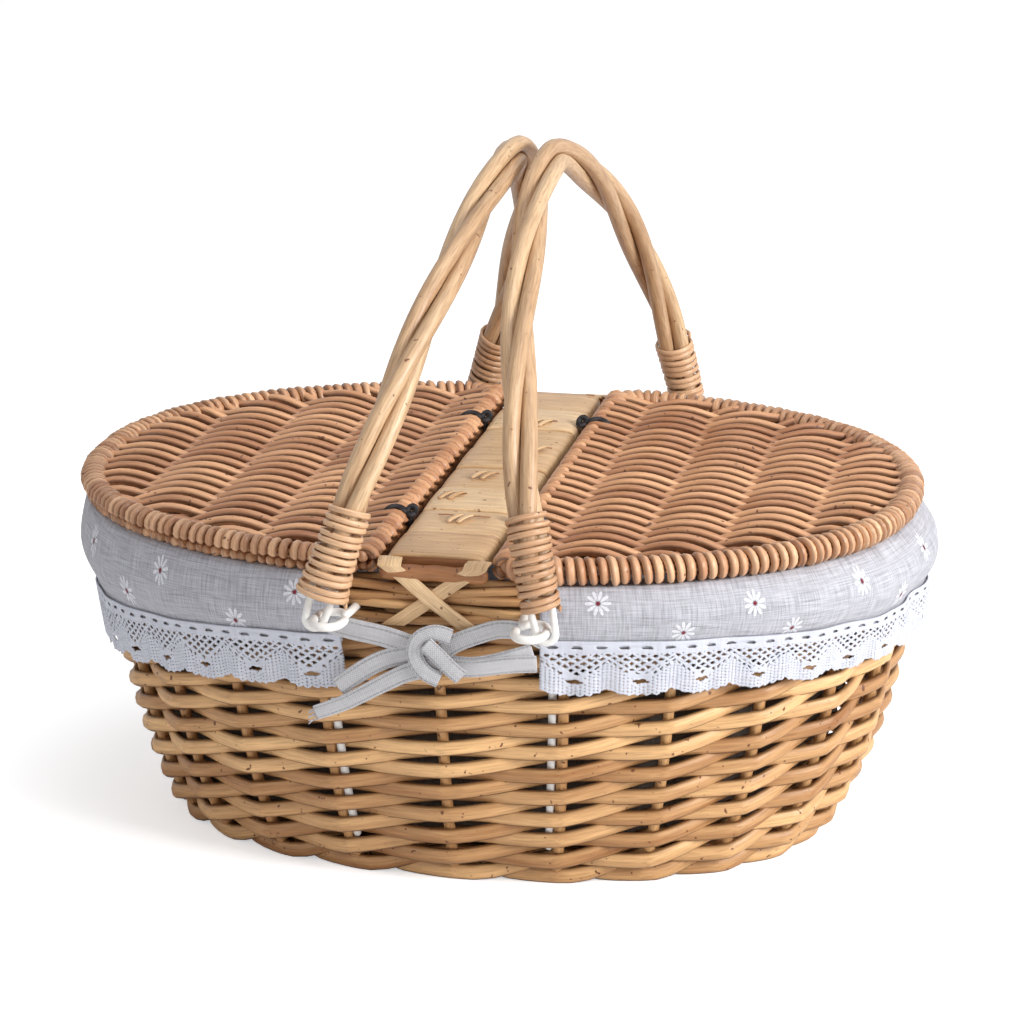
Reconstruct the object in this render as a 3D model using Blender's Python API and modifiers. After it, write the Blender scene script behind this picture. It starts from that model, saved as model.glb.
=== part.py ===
"""Willow picnic basket with two hinged lids and two swinging handles, in metres.

The long side runs along X, the front is at -Y, and the basket stands on z = 0.
"""

import math

import bmesh
import bpy
from mathutils import Matrix, Vector

# Basket body, an oval that flares from the base to the rim
OVAL_POWER = 2.2
BASE_HALF_LENGTH = 0.152
BASE_HALF_WIDTH = 0.100
RIM_HALF_LENGTH = 0.199
RIM_HALF_WIDTH = 0.152
RIM_TOP = 0.1625
RIM_BORDER_HEIGHT = 0.0195
RIM_BORDER_THICKNESS = 0.015
RIM_POINTS = 38
RIM_PROFILE_SHARES = (
    (-0.50, 0.00), (0.40, 0.00), (0.50, 0.17), (0.36, 0.33), (0.50, 0.50),
    (0.36, 0.67), (0.50, 0.83), (0.20, 1.00), (-0.25, 1.00), (-0.50, 0.85),
)
BASE_THICKNESS = 0.009
FOOT_RING_RADIUS = 0.0045

# Stakes and the weave round them
STAKE_COUNT = 23
STAKE_RADIUS = 0.0028
STAKE_SEGMENTS = 7
STAKE_STEP_POWER = 1.8
STAKE_TOP_TILT = 0.0007
WEAVE_GAP = 0.0005
WEAVER_THICKNESS = 0.0044
WEAVER_COUNT = 6
WEAVER_TURNS = 3
ROW_GAP = 0.0006
FIRST_ROW_LIFT = 0.0025
LAST_ROW_DROP = 0.0055

# Lids, each a half oval that turns about its hinge rod
LID_OVERHANG = 0.011
LID_EDGE_RADIUS = 0.0063
LID_EDGE_POINTS = 27
LID_HINGE_X = 0.033
LID_CORNER_SHARE = 0.5
HINGE_ROD_RADIUS = 0.0048
LID_RIB_RADIUS = 0.0022
LID_RIB_COUNT = 4
LAST_RIB_SHARE = 0.44
REED_PITCH = 0.0125
REED_GAP = 0.0030
REED_THICKNESS = 0.0024
LID_EDGE_ROOM = 0.0009
SHORTEST_REED = 0.020

# Bridge between the lids
BRIDGE_WIDTH = 0.047
BRIDGE_RAIL_RADIUS = 0.0040
BRIDGE_END_INSET = 0.0015
BRIDGE_END_ROD_RADIUS = 0.0042
BRIDGE_CHIP_THICKNESS = 0.0022
BRIDGE_CHIP_COUNT = 13
BRIDGE_CHIP_LIFT = 0.0006
BRIDGE_CROWN = 0.0012
BRIDGE_SKIRT_DROP = 0.0060
LASHING_WIDTH = 0.0070
LASHING_THICKNESS = 0.0016
LASHING_FOOT_DROP = 0.0200

# Cord ties that hold each lid's hinge rod to the bridge
TIE_PITCH_COUNT = 7
TIE_CORD_RADIUS = 0.0011
TIE_CLEARANCE = 0.0004
TIE_KNOT_RADIUS = 0.0032
TIE_KNOT_RISE_DEGREES = 60.0
TIE_RING_POINTS = 10
BALL_SEGMENTS = 8
BALL_RINGS = 5

# Handles, each an arch of twisted rods
HANDLE_OUTSET = 0.0250
LEFT_HANDLE_HEIGHT = 0.193
RIGHT_HANDLE_HEIGHT = 0.1865
LEFT_PIVOT_X = 0.051
RIGHT_PIVOT_X = 0.057
HANDLE_PIVOT_DROP = 0.0135
RIGHT_BACK_SHIFT = 0.013
LEFT_APEX_X = 0.0060
HANDLE_APEX_GAP = 0.0018
ARCH_CROWN_POWER = 2.2
ARCH_LEG_POWER = 1.46
ARCH_FINE_STEPS = 2000
HANDLE_ROD_RADIUS = 0.0038
HANDLE_ROD_COUNT = 3
HANDLE_ROD_POINTS = 29
HANDLE_TWISTS = 3.0
HANDLE_FOOT_HEIGHT = 0.017
FOOT_PINCH_SHARE = 0.88
FOOT_PINCH_HEIGHT = 0.075

# Whippings of split cane at the feet of the handles
WHIP_START = 0.0100
WHIP_TURNS = 9
WHIP_PITCH = 0.0047
WHIP_CANE_RADIUS = 0.0015
WHIP_POINTS_PER_TURN = 9

# Eyes of coated rod in the wall, and links of the same rod on the handles
EYE_ROD_RADIUS = 0.0020
EYE_REACH_IN = 0.0120
EYE_REACH_OUT = 0.0115
EYE_WIDTH = 0.0140
EYE_CORNER = 0.0030
EYE_MOUTH = 0.0060
EYE_POCKET_POINTS = 4
EYE_STEM_RADIUS = 0.0016
EYE_STEM_FOOT = 0.020
EYE_STEM_STEPS = 7
EYE_STEM_GAP = 0.0008
LINK_ROD_RADIUS = 0.0018
LINK_BEND_RADIUS = 0.0044
LINK_TOP_HALF_WIDTH = 0.0056
LINK_BEND_STEPS = 6

# Liner, lace and tapes
CLOTH_THICKNESS = 0.0013
LINER_STAND_OFF = 0.0010
LINER_COLUMNS = 30
LINER_EDGE_DROP = 0.0125
LINER_ROW_SHARES = (0.06, 0.23, 0.55)
LINER_FLOOR_INSET = 0.0078
SKIRT_COLUMNS = 24
SKIRT_EDGE_DROP = 0.0110
SKIRT_INSIDE_SHARE = 0.5
SKIRT_SHOULDER_SHARE = 0.75
SKIRT_SHOULDER_DROP_SHARE = 0.25
SKIRT_ROWS = 6
HEM_DROP_FRONT = 0.0240
HEM_DROP_AT_ENDS = 0.0150
LACE_DEPTH = 0.0260
LACE_OVERLAP = 0.0040
LACE_COLUMNS = 35
LACE_STAND_OFF = 0.0008
SCALLOP_DEPTH = 0.0030
SKIRT_FOLD_DEPTH = 0.0012
SKIRT_FOLDS = 7
SKIRT_EYE_ROOM = 0.0028
TAPE_WIDTH = 0.0090
TAPE_THICKNESS = 0.0014
TAPE_LAP = 0.0030
TAPE_DROP = 0.0215
KNOT_X = 0.005
KNOT_DROP = 0.0325
KNOT_RADIUS = 0.0100
KNOT_SHARES = (1.2, 0.50, 1.0)
LEFT_TAPE_SHARES = ((-1.00, 1.00), (-0.65, 0.75), (-0.30, 0.25), (0.10, 0.10))
TAIL_TAPE_SHARES = ((-1.15, -2.60), (-0.80, -1.75), (-0.35, -0.65), (0.05, -0.05))
RIGHT_TAPE_SHARES = ((1.00, 1.00), (0.80, 0.95), (0.50, 0.60), (0.00, 0.05))
LOW_TAPE_SHARES = ((0.98, -0.60), (0.75, -0.80), (0.42, -0.50), (-0.05, -0.10))

# Gaps, overlaps and overruns
GAP = 0.0003
WELD = 0.00001
ANGLE_STEP = 0.001
HEIGHT_STEP = 0.0005

# Worked out from the sizes above
LID_HALF_LENGTH = RIM_HALF_LENGTH + LID_OVERHANG
LID_HALF_WIDTH = RIM_HALF_WIDTH + LID_OVERHANG
HANDLE_HALF_SPAN = RIM_HALF_WIDTH + HANDLE_OUTSET
HANDLE_PIVOT_Z = RIM_TOP - HANDLE_PIVOT_DROP
BRIDGE_RAIL_LENGTH = 2.0 * (RIM_HALF_WIDTH - BRIDGE_END_INSET)
REED_WIDTH = REED_PITCH - REED_GAP
WEAVE_OFFSET = STAKE_RADIUS + WEAVE_GAP + 0.5 * WEAVER_THICKNESS
WALL_HALF_THICKNESS = WEAVE_OFFSET + 0.5 * WEAVER_THICKNESS
RIM_MIDDLE = RIM_TOP - 0.5 * RIM_BORDER_HEIGHT
RIM_BOTTOM = RIM_TOP - RIM_BORDER_HEIGHT
STAKE_TOP = RIM_BOTTOM - GAP - STAKE_TOP_TILT
FIRST_ROW_HEIGHT = 2.0 * FOOT_RING_RADIUS + FIRST_ROW_LIFT
ROW_PITCH = (RIM_BOTTOM - LAST_ROW_DROP - FIRST_ROW_HEIGHT) / (WEAVER_COUNT * WEAVER_TURNS)
WEAVER_HEIGHT = ROW_PITCH - ROW_GAP
LINER_TOP = RIM_TOP + GAP + CLOTH_THICKNESS
LID_HINGE_Z = LINER_TOP + GAP + LID_EDGE_RADIUS
LID_CLEAR_LENGTH = LID_HALF_LENGTH - 2.0 * LID_EDGE_RADIUS - LID_HINGE_X
LID_RIB_SPACING = LID_CLEAR_LENGTH / (LID_RIB_COUNT + LAST_RIB_SHARE)
TIE_Y = TIE_PITCH_COUNT * REED_PITCH
REED_OFFSET = LID_RIB_RADIUS + GAP + 0.5 * REED_THICKNESS
RAIL_X = 0.5 * BRIDGE_WIDTH - BRIDGE_CHIP_THICKNESS - GAP - BRIDGE_RAIL_RADIUS
RAIL_Z = RIM_TOP + GAP + BRIDGE_RAIL_RADIUS
BRIDGE_TOP = RAIL_Z + BRIDGE_RAIL_RADIUS + GAP + BRIDGE_CHIP_THICKNESS
BORDER_FACE = 0.5 * RIM_BORDER_THICKNESS
KNOT_Z = RIM_TOP - KNOT_DROP
LINER_AWAY = LINER_STAND_OFF + 0.5 * CLOTH_THICKNESS
LINER_RIM_INSET = BORDER_FACE + 2.0 * GAP + LINER_AWAY

# Each eye's name, its side and end of the basket, and its pivot's distance from the middle
EYES = (
    ("eye_front_left", -1.0, -1.0, LEFT_PIVOT_X),
    ("eye_front_right", 1.0, -1.0, RIGHT_PIVOT_X),
    ("eye_back_left", -1.0, 1.0, LEFT_PIVOT_X),
    ("eye_back_right", 1.0, 1.0, RIGHT_PIVOT_X + RIGHT_BACK_SHIFT),
)

COLOURS = {
    "willow": (0.62, 0.40, 0.17),
    "reed": (0.50, 0.25, 0.11),
    "peeled_willow": (0.70, 0.47, 0.22),
    "straw": (0.76, 0.58, 0.33),
    "cane": (0.55, 0.30, 0.12),
    "linen": (0.56, 0.54, 0.56),
    "lace": (0.88, 0.88, 0.90),
    "tape": (0.66, 0.65, 0.64),
    "white_coating": (0.85, 0.84, 0.82),
    "dark_cord": (0.03, 0.025, 0.025),
}
ROUGHNESS = 0.6


# Scene and material helpers


def clear_scene():
    for obj in list(bpy.data.objects):
        bpy.data.objects.remove(obj, do_unlink=True)


def new_collection(name):
    collection = bpy.data.collections.new(name)
    bpy.context.scene.collection.children.link(collection)
    return collection


def material(name):
    found = bpy.data.materials.get(name)
    if found:
        return found
    made = bpy.data.materials.new(name)
    made.use_nodes = True
    shader = made.node_tree.nodes["Principled BSDF"]
    shader.inputs["Base Color"].default_value = (*COLOURS[name], 1.0)
    shader.inputs["Roughness"].default_value = ROUGHNESS
    shader.inputs["Metallic"].default_value = 0.0
    return made


def keep(name, data, colour, pivot=None):
    """A new part object of this data, in the basket's collection and under its pivot."""
    obj = bpy.data.objects.new(name, data)
    data.materials.append(material(colour))
    parts.objects.link(obj)
    obj.parent = pivot
    return obj


def make_cutter(obj):
    """Turns a part into a hidden helper for Booleans."""
    parts.objects.unlink(obj)
    helpers.objects.link(obj)
    obj.hide_render = True
    obj.display_type = "WIRE"
    return obj


def new_pivot(name, place, turn):
    """An empty on a joint's axis: its local Y is the axis."""
    pivot = bpy.data.objects.new(name, None)
    parts.objects.link(pivot)
    pivot.matrix_world = Matrix.Translation(place) @ turn
    return pivot


# Shape helpers


def rod(name, points, radius, colour, pivot=None, closed=False, shares=None, fine=1):
    """A round rod along the points, thinner where a share below 1 is given."""
    curve = bpy.data.curves.new(name, "CURVE")
    curve.dimensions = "3D"
    curve.bevel_depth = radius
    curve.bevel_resolution = fine
    curve.use_fill_caps = True
    spline = curve.splines.new("POLY")
    spline.points.add(len(points) - 1)
    for index, point in enumerate(points):
        spline.points[index].co = (*point, 1.0)
        spline.points[index].radius = shares[index] if shares else 1.0
    spline.use_cyclic_u = closed
    spline.use_smooth = True
    return keep(name, curve, colour, pivot)


def as_mesh(curve_object):
    """The mesh of a curve object, with its caps welded, in the curve's place."""
    name = curve_object.name
    graph = bpy.context.evaluated_depsgraph_get()
    mesh = bpy.data.meshes.new_from_object(curve_object.evaluated_get(graph))
    form = bmesh.new()
    form.from_mesh(mesh)
    bmesh.ops.remove_doubles(form, verts=form.verts, dist=WELD)
    bmesh.ops.recalc_face_normals(form, faces=form.faces)
    form.to_mesh(mesh)
    form.free()
    colour = mesh.materials[0].name
    mesh.materials.clear()
    pivot = curve_object.parent
    bpy.data.objects.remove(curve_object, do_unlink=True)
    return keep(name, mesh, colour, pivot)


def sheet(name, columns, rows, place, thickness, colour, pivot=None, closed=False):
    """A grid laid by place(u, v), with u and v from 0 to 1, thickened about its middle."""
    form = bmesh.new()
    bmesh.ops.create_grid(form, x_segments=columns, y_segments=rows, size=1.0)
    for vert in form.verts:
        vert.co = place(0.5 * (vert.co.x + 1.0), 0.5 * (vert.co.y + 1.0))
    if closed:
        bmesh.ops.remove_doubles(form, verts=form.verts, dist=WELD)
    mesh = bpy.data.meshes.new(name)
    form.to_mesh(mesh)
    form.free()
    obj = keep(name, mesh, colour, pivot)
    shell = obj.modifiers.new("Shell", "SOLIDIFY")
    shell.thickness = thickness
    shell.offset = 0.0
    return obj


def ribbon(name, points, across, width, thickness, colour, pivot=None):
    """A flat strip along the points, with its width along each point's vector across."""

    def place(u, v):
        index = round(u * (len(points) - 1))
        return points[index] + across[index] * (v - 0.5) * width

    return sheet(name, len(points) - 1, 1, place, thickness, colour, pivot)


def join(name, objects):
    """Several meshes as one, to be cut or united as a set."""
    graph = bpy.context.evaluated_depsgraph_get()
    form = bmesh.new()
    for obj in objects:
        mesh = bpy.data.meshes.new_from_object(obj.evaluated_get(graph))
        form.from_mesh(mesh)
        bpy.data.meshes.remove(mesh)
    bmesh.ops.remove_doubles(form, verts=form.verts, dist=WELD)
    mesh = bpy.data.meshes.new(name)
    form.to_mesh(mesh)
    form.free()
    colour = objects[0].data.materials[0].name
    pivot = objects[0].parent
    for obj in objects:
        bpy.data.objects.remove(obj, do_unlink=True)
    return keep(name, mesh, colour, pivot)


def boolean(obj, other, operation):
    step = obj.modifiers.new(other.name, "BOOLEAN")
    step.operation = operation
    step.solver = "EXACT"
    step.object = make_cutter(other)


def smoothstep(value):
    limited = min(max(value, 0.0), 1.0)
    return limited * limited * (3.0 - 2.0 * limited)


# The oval wall that everything on the body follows


def oval(half_length, half_width, angle, height):
    cosine, sine = math.cos(angle), math.sin(angle)
    along = math.copysign(abs(cosine) ** (2.0 / OVAL_POWER), cosine)
    aside = math.copysign(abs(sine) ** (2.0 / OVAL_POWER), sine)
    return Vector((half_length * along, half_width * aside, height))


def oval_reach(half_length, half_width, distance):
    """Half the oval's width at this distance from its middle."""
    share = min(abs(distance) / half_length, 1.0)
    return half_width * (1.0 - share**OVAL_POWER) ** (1.0 / OVAL_POWER)


def flare_share(height):
    return math.sqrt(max(height, 0.0) / RIM_TOP)


def half_length(height):
    return BASE_HALF_LENGTH + (RIM_HALF_LENGTH - BASE_HALF_LENGTH) * flare_share(height)


def half_width(height):
    return BASE_HALF_WIDTH + (RIM_HALF_WIDTH - BASE_HALF_WIDTH) * flare_share(height)


def wall_point(angle, height):
    return oval(half_length(height), half_width(height), angle, height)


def wall_normal(angle, height):
    around = wall_point(angle + ANGLE_STEP, height) - wall_point(angle - ANGLE_STEP, height)
    upward = wall_point(angle, height + HEIGHT_STEP) - wall_point(angle, height - HEIGHT_STEP)
    return around.cross(upward).normalized()


def angle_at(x, height, end):
    """The wall's angle at this x, on the front for end -1 and on the back for end 1."""
    share = min(abs(x) / half_length(height), 1.0)
    angle = math.acos(share ** (0.5 * OVAL_POWER))
    if x < 0.0:
        angle = math.pi - angle
    return end * angle


def stake_angle(index):
    return 2.0 * math.pi * index / STAKE_COUNT - 0.5 * math.pi


# Body: base, stakes, weave and rim


def make_base():
    edge = FOOT_RING_RADIUS + GAP
    height = FOOT_RING_RADIUS
    outline = bpy.data.curves.new("base", "CURVE")
    outline.dimensions = "2D"
    outline.fill_mode = "BOTH"
    outline.extrude = 0.5 * BASE_THICKNESS
    spline = outline.splines.new("POLY")
    spline.points.add(RIM_POINTS - 1)
    for index in range(RIM_POINTS):
        angle = 2.0 * math.pi * index / RIM_POINTS
        point = oval(half_length(height) - edge, half_width(height) - edge, angle, 0.0)
        spline.points[index].co = (*point, 1.0)
    spline.use_cyclic_u = True
    base = keep("base", outline, "willow")
    base.location.z = 0.5 * BASE_THICKNESS


def wall_line(angle, foot, top, steps):
    """Points up the wall, closer together where it bends most."""
    shares = [(step / steps) ** STAKE_STEP_POWER for step in range(steps + 1)]
    return [wall_point(angle, foot + (top - foot) * share) for share in shares]


def stake_points(angle):
    return wall_line(angle, FOOT_RING_RADIUS, STAKE_TOP, STAKE_SEGMENTS)


def make_stake_frame():
    """The foot ring with every stake standing in it."""
    circle = [
        wall_point(2.0 * math.pi * index / RIM_POINTS, FOOT_RING_RADIUS)
        for index in range(RIM_POINTS)
    ]
    ring = as_mesh(rod("stake_frame", circle, FOOT_RING_RADIUS, "willow", closed=True))
    stakes = [
        as_mesh(rod(f"stake_{index}", stake_points(stake_angle(index)), STAKE_RADIUS, "willow",
                    fine=0))
        for index in range(STAKE_COUNT)
    ]
    boolean(ring, join("stakes", stakes), "UNION")


def weaver_place(index):
    """Where the weave passes this stake, outside the even ones and inside the odd ones.

    The second vector points up the wall, the way the weaver's width stands.
    """
    angle = stake_angle(index)
    height = FIRST_ROW_HEIGHT + ROW_PITCH * index / STAKE_COUNT
    side = 1.0 if index % 2 == 0 else -1.0
    point = wall_point(angle, height) + wall_normal(angle, height) * side * WEAVE_OFFSET
    upward = wall_point(angle, height + HEIGHT_STEP) - wall_point(angle, height - HEIGHT_STEP)
    return point, upward.normalized()


def make_weavers():
    """One spiral of willow from foot to rim, in lengths of a few turns."""
    steps = WEAVER_TURNS * STAKE_COUNT
    for number in range(WEAVER_COUNT):
        start = number * steps
        places = [weaver_place(index) for index in range(start, start + steps)]
        points, upward = zip(*places)
        name = f"wall_weaver_{number + 1}"
        ribbon(name, points, upward, WEAVER_HEIGHT, WEAVER_THICKNESS, "willow")


def sweep_round(name, profile, height, colour):
    """A closed band round the basket, of a profile given as distance outward and height."""
    count = len(profile)
    centre_length, centre_width = half_length(height), half_width(height)
    form = bmesh.new()
    rings = []
    for index in range(RIM_POINTS):
        angle = 2.0 * math.pi * index / RIM_POINTS
        ring = [
            form.verts.new(oval(centre_length + out, centre_width + out, angle, level))
            for out, level in profile
        ]
        rings.append(ring)
    for index in range(RIM_POINTS):
        here, after = rings[index], rings[(index + 1) % RIM_POINTS]
        for corner in range(count):
            following = (corner + 1) % count
            form.faces.new((here[corner], after[corner], after[following], here[following]))
    bmesh.ops.recalc_face_normals(form, faces=form.faces)
    mesh = bpy.data.meshes.new(name)
    form.to_mesh(mesh)
    form.free()
    return keep(name, mesh, colour)


def make_rim_border():
    """Three rods' width of border on the stakes, with a pocket for each eye."""
    profile = [
        (out * RIM_BORDER_THICKNESS, RIM_BOTTOM + up * RIM_BORDER_HEIGHT)
        for out, up in RIM_PROFILE_SHARES
    ]
    border = sweep_round("rim_border", profile, RIM_MIDDLE, "willow")
    for name, side, end, pivot_x in EYES:
        first = EYE_STEM_STEPS - 1
        path = eye_path(side, end, pivot_x)[first : first + EYE_POCKET_POINTS]
        path[0] = path[1] + (path[0] - path[1]).normalized() * RIM_BORDER_THICKNESS
        pocket = rod(f"{name}_pocket", path, EYE_ROD_RADIUS + GAP, "willow")
        boolean(border, as_mesh(pocket), "DIFFERENCE")


# Bridge: rails, end rods, woven chips and lashings


def make_bridge():
    for name, side in (("bridge_rail_left", -1.0), ("bridge_rail_right", 1.0)):
        ends = [
            Vector((side * RAIL_X, end * 0.5 * BRIDGE_RAIL_LENGTH, RAIL_Z))
            for end in (-1.0, 1.0)
        ]
        rod(name, ends, BRIDGE_RAIL_RADIUS, "peeled_willow")
    end_y = 0.5 * BRIDGE_RAIL_LENGTH + GAP + BRIDGE_END_ROD_RADIUS
    end_z = RIM_TOP + GAP + BRIDGE_END_ROD_RADIUS
    half = 0.5 * BRIDGE_WIDTH
    for name, end in (("bridge_end_rod_front", -1.0), ("bridge_end_rod_back", 1.0)):
        points = [Vector((side * half, end * end_y, end_z)) for side in (-1.0, 1.0)]
        rod(name, points, BRIDGE_END_ROD_RADIUS, "cane")
    make_bridge_panel()


def make_bridge_panel():
    """Flat chips side by side, bent down over the rails at both edges."""
    half = 0.5 * (BRIDGE_WIDTH - BRIDGE_CHIP_THICKNESS)
    top = BRIDGE_TOP - 0.5 * BRIDGE_CHIP_THICKNESS
    low = top - BRIDGE_SKIRT_DROP
    section = ((-half, low), (-half, top), (0.0, top + BRIDGE_CROWN), (half, top), (half, low))
    columns = 2 * BRIDGE_CHIP_COUNT

    def place(u, v):
        x, z = section[round(v * (len(section) - 1))]
        lift = BRIDGE_CHIP_LIFT * (round(u * columns) % 2) * (1.0 - abs(x) / half)
        return Vector((x, (u - 0.5) * BRIDGE_RAIL_LENGTH, z + lift))

    sheet("bridge_panel", columns, len(section) - 1, place, BRIDGE_CHIP_THICKNESS, "straw")


def lashing_points(end, side):
    """One strip of a crossed lashing, from over the end rod down across the border."""
    rod_y = 0.5 * BRIDGE_RAIL_LENGTH + GAP + BRIDGE_END_ROD_RADIUS
    rod_top = RIM_TOP + GAP + 2.0 * BRIDGE_END_ROD_RADIUS
    away = GAP + 0.5 * LASHING_THICKNESS
    face = half_width(RIM_MIDDLE) + BORDER_FACE + GAP + away
    reach = 0.5 * BRIDGE_WIDTH - LASHING_WIDTH
    front_face = max(face, rod_y + BRIDGE_END_ROD_RADIUS + away)
    return [
        Vector((-side * reach, end * rod_y, rod_top + away)),
        Vector((-side * reach, end * front_face, rod_top + away)),
        Vector((-side * reach, end * front_face, RIM_TOP)),
        Vector((side * reach, end * face, RIM_TOP - LASHING_FOOT_DROP)),
    ]


def make_lashings():
    for name, end in (("lashing_front", -1.0), ("lashing_back", 1.0)):
        strips = []
        for number, side in ((1, -1.0), (2, 1.0)):
            points = lashing_points(end, side)
            across = [Vector((1.0, 0.0, 0.0))] * len(points)
            strips.append(ribbon(f"{name}_{number}", points, across,
                                 LASHING_WIDTH, LASHING_THICKNESS, "straw"))
        strips[0].name = name
        boolean(strips[0], strips[1], "UNION")


# Eyes in the wall and links on the handles


def stem_angle(x, end):
    """Beside the stake whose flank lies nearest to this x."""
    flank = STAKE_RADIUS + EYE_STEM_GAP + EYE_STEM_RADIUS
    best = None
    for index in range(STAKE_COUNT):
        angle = stake_angle(index)
        speed = (wall_point(angle + ANGLE_STEP, RIM_MIDDLE) - wall_point(angle, RIM_MIDDLE)).length
        for turn in (-1.0, 1.0):
            beside = angle + turn * flank * ANGLE_STEP / speed
            point = wall_point(beside, RIM_MIDDLE)
            distance = abs(point.x - x)
            if point.y * end > 0.0 and (best is None or distance < best[0]):
                best = (distance, beside)
    return best[1]


def eye_path(side, end, pivot_x):
    """Up the weave beside a stake, out of the rim and round the eye."""
    near = pivot_x - EYE_WIDTH
    angle = stem_angle(side * near, end)
    stem = wall_line(angle, EYE_STEM_FOOT, RIM_BOTTOM, EYE_STEM_STEPS)
    wall_y = oval_reach(half_length(RIM_MIDDLE), half_width(RIM_MIDDLE), near)
    inner = HANDLE_HALF_SPAN - EYE_REACH_IN
    outer = HANDLE_HALF_SPAN + EYE_REACH_OUT
    loop = (
        (near, wall_y),
        (near, inner - EYE_CORNER),
        (near + EYE_CORNER, inner),
        (pivot_x - EYE_CORNER, inner),
        (pivot_x, inner + EYE_CORNER),
        (pivot_x, outer - EYE_CORNER),
        (pivot_x - EYE_CORNER, outer),
        (near + EYE_CORNER, outer),
        (near, outer - EYE_CORNER),
        (near, inner + EYE_MOUTH),
    )
    return stem + [Vector((side * x, end * y, HANDLE_PIVOT_Z)) for x, y in loop]


def make_eyes():
    for name, side, end, pivot_x in EYES:
        path = eye_path(side, end, pivot_x)
        thin = EYE_STEM_RADIUS / EYE_ROD_RADIUS
        shares = [thin if index <= EYE_STEM_STEPS else 1.0 for index in range(len(path))]
        rod(name, path, EYE_ROD_RADIUS, "white_coating", shares=shares)


def make_link(name, end, pivot):
    """A narrow U hung on the eye, with its two legs up in the whipping."""
    y = end * HANDLE_HALF_SPAN
    top = HANDLE_FOOT_HEIGHT - GAP
    bend = [
        Vector((-LINK_BEND_RADIUS * math.cos(math.pi * step / LINK_BEND_STEPS), y,
                -LINK_BEND_RADIUS * math.sin(math.pi * step / LINK_BEND_STEPS)))
        for step in range(LINK_BEND_STEPS + 1)
    ]
    legs = [Vector((side * LINK_TOP_HALF_WIDTH, y, top)) for side in (-1.0, 1.0)]
    rod(name, [legs[0], *bend, legs[1]], LINK_ROD_RADIUS, "white_coating", pivot)


# Handles


def arch_point(tall, turn):
    """A point of an arch this tall, from the front foot at 0 to the back foot at pi."""
    cosine, sine = math.cos(turn), max(math.sin(turn), 0.0)
    aside = -math.copysign(abs(cosine) ** (2.0 / ARCH_LEG_POWER), cosine)
    return Vector((0.0, HANDLE_HALF_SPAN * aside, tall * sine ** (2.0 / ARCH_CROWN_POWER)))


def arch_stations(tall, first_height, last_height, count):
    """Points at equal steps along the arch, from a height in front to a height behind.

    A last height below zero means that height on the front leg.
    """
    steps = ARCH_FINE_STEPS
    fine = [arch_point(tall, math.pi * step / steps) for step in range(steps + 1)]
    half = steps // 2
    start = next(index for index in range(half) if fine[index].z >= first_height)
    if last_height < 0.0:
        stop = next(index for index in range(half) if fine[index].z >= -last_height)
    else:
        stop = next(index for index in range(steps, half, -1) if fine[index].z >= last_height)
    lengths = [0.0]
    for index in range(start, stop):
        lengths.append(lengths[-1] + (fine[index + 1] - fine[index]).length)
    stations, place = [], 0
    for number in range(count):
        wanted = lengths[-1] * number / (count - 1)
        while place < len(lengths) - 2 and lengths[place + 1] < wanted:
            place += 1
        stations.append(fine[start + place])
    return stations


def frame_at(stations, index):
    """The arch plane's normal and the direction across the rods at a station."""
    before, after = stations[max(index - 1, 0)], stations[min(index + 1, len(stations) - 1)]
    along = (after - before).normalized()
    sideways = Vector((1.0, 0.0, 0.0))
    return sideways, along.cross(sideways).normalized()


def pinch(height):
    """How much the bundle of rods narrows towards its foot."""
    return FOOT_PINCH_SHARE + (1.0 - FOOT_PINCH_SHARE) * smoothstep(height / FOOT_PINCH_HEIGHT)


def bundle_spread():
    """The distance of each rod from the bundle's middle, so that straight steps stay clear."""
    step = math.pi * HANDLE_TWISTS / (HANDLE_ROD_POINTS - 1)
    apart = 2.0 * HANDLE_ROD_RADIUS + 2.0 * GAP
    return 0.5 * apart / math.sin(math.pi / HANDLE_ROD_COUNT) / math.cos(step)


def make_handle_rods(side_name, pivot, tall):
    stations = arch_stations(tall, HANDLE_FOOT_HEIGHT, HANDLE_FOOT_HEIGHT, HANDLE_ROD_POINTS)
    for number in range(HANDLE_ROD_COUNT):
        points, shares = [], []
        for index, station in enumerate(stations):
            sideways, across = frame_at(stations, index)
            turn = 2.0 * math.pi * (HANDLE_TWISTS * index / (HANDLE_ROD_POINTS - 1)
                                    + number / HANDLE_ROD_COUNT)
            away = bundle_spread() * pinch(station.z)
            points.append(station + away * (math.cos(turn) * sideways + math.sin(turn) * across))
            shares.append(pinch(station.z))
        name = f"{side_name}_handle_rod_{number + 1}"
        rod(name, points, HANDLE_ROD_RADIUS, "peeled_willow", pivot, shares=shares)


def whip_points(tall):
    """A tight coil of cane round the front foot of an arch this tall."""
    count = WHIP_TURNS * WHIP_POINTS_PER_TURN + 1
    top = WHIP_START + WHIP_TURNS * WHIP_PITCH
    stations = arch_stations(tall, WHIP_START, -top, count)
    points = []
    for index, station in enumerate(stations):
        sideways, across = frame_at(stations, index)
        turn = 2.0 * math.pi * index / WHIP_POINTS_PER_TURN
        core = (bundle_spread() + HANDLE_ROD_RADIUS) * pinch(station.z)
        away = (core + GAP + WHIP_CANE_RADIUS) / math.cos(math.pi / WHIP_POINTS_PER_TURN)
        points.append(station + away * (math.cos(turn) * sideways + math.sin(turn) * across))
    return points


def least_gap(points, radius, apart):
    """The least gap between parts of a tube that lie more than this many points apart."""
    nearest = min(
        (points[first] - points[second]).length
        for first in range(len(points))
        for second in range(first + apart, len(points))
    )
    return nearest - 2.0 * radius


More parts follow.
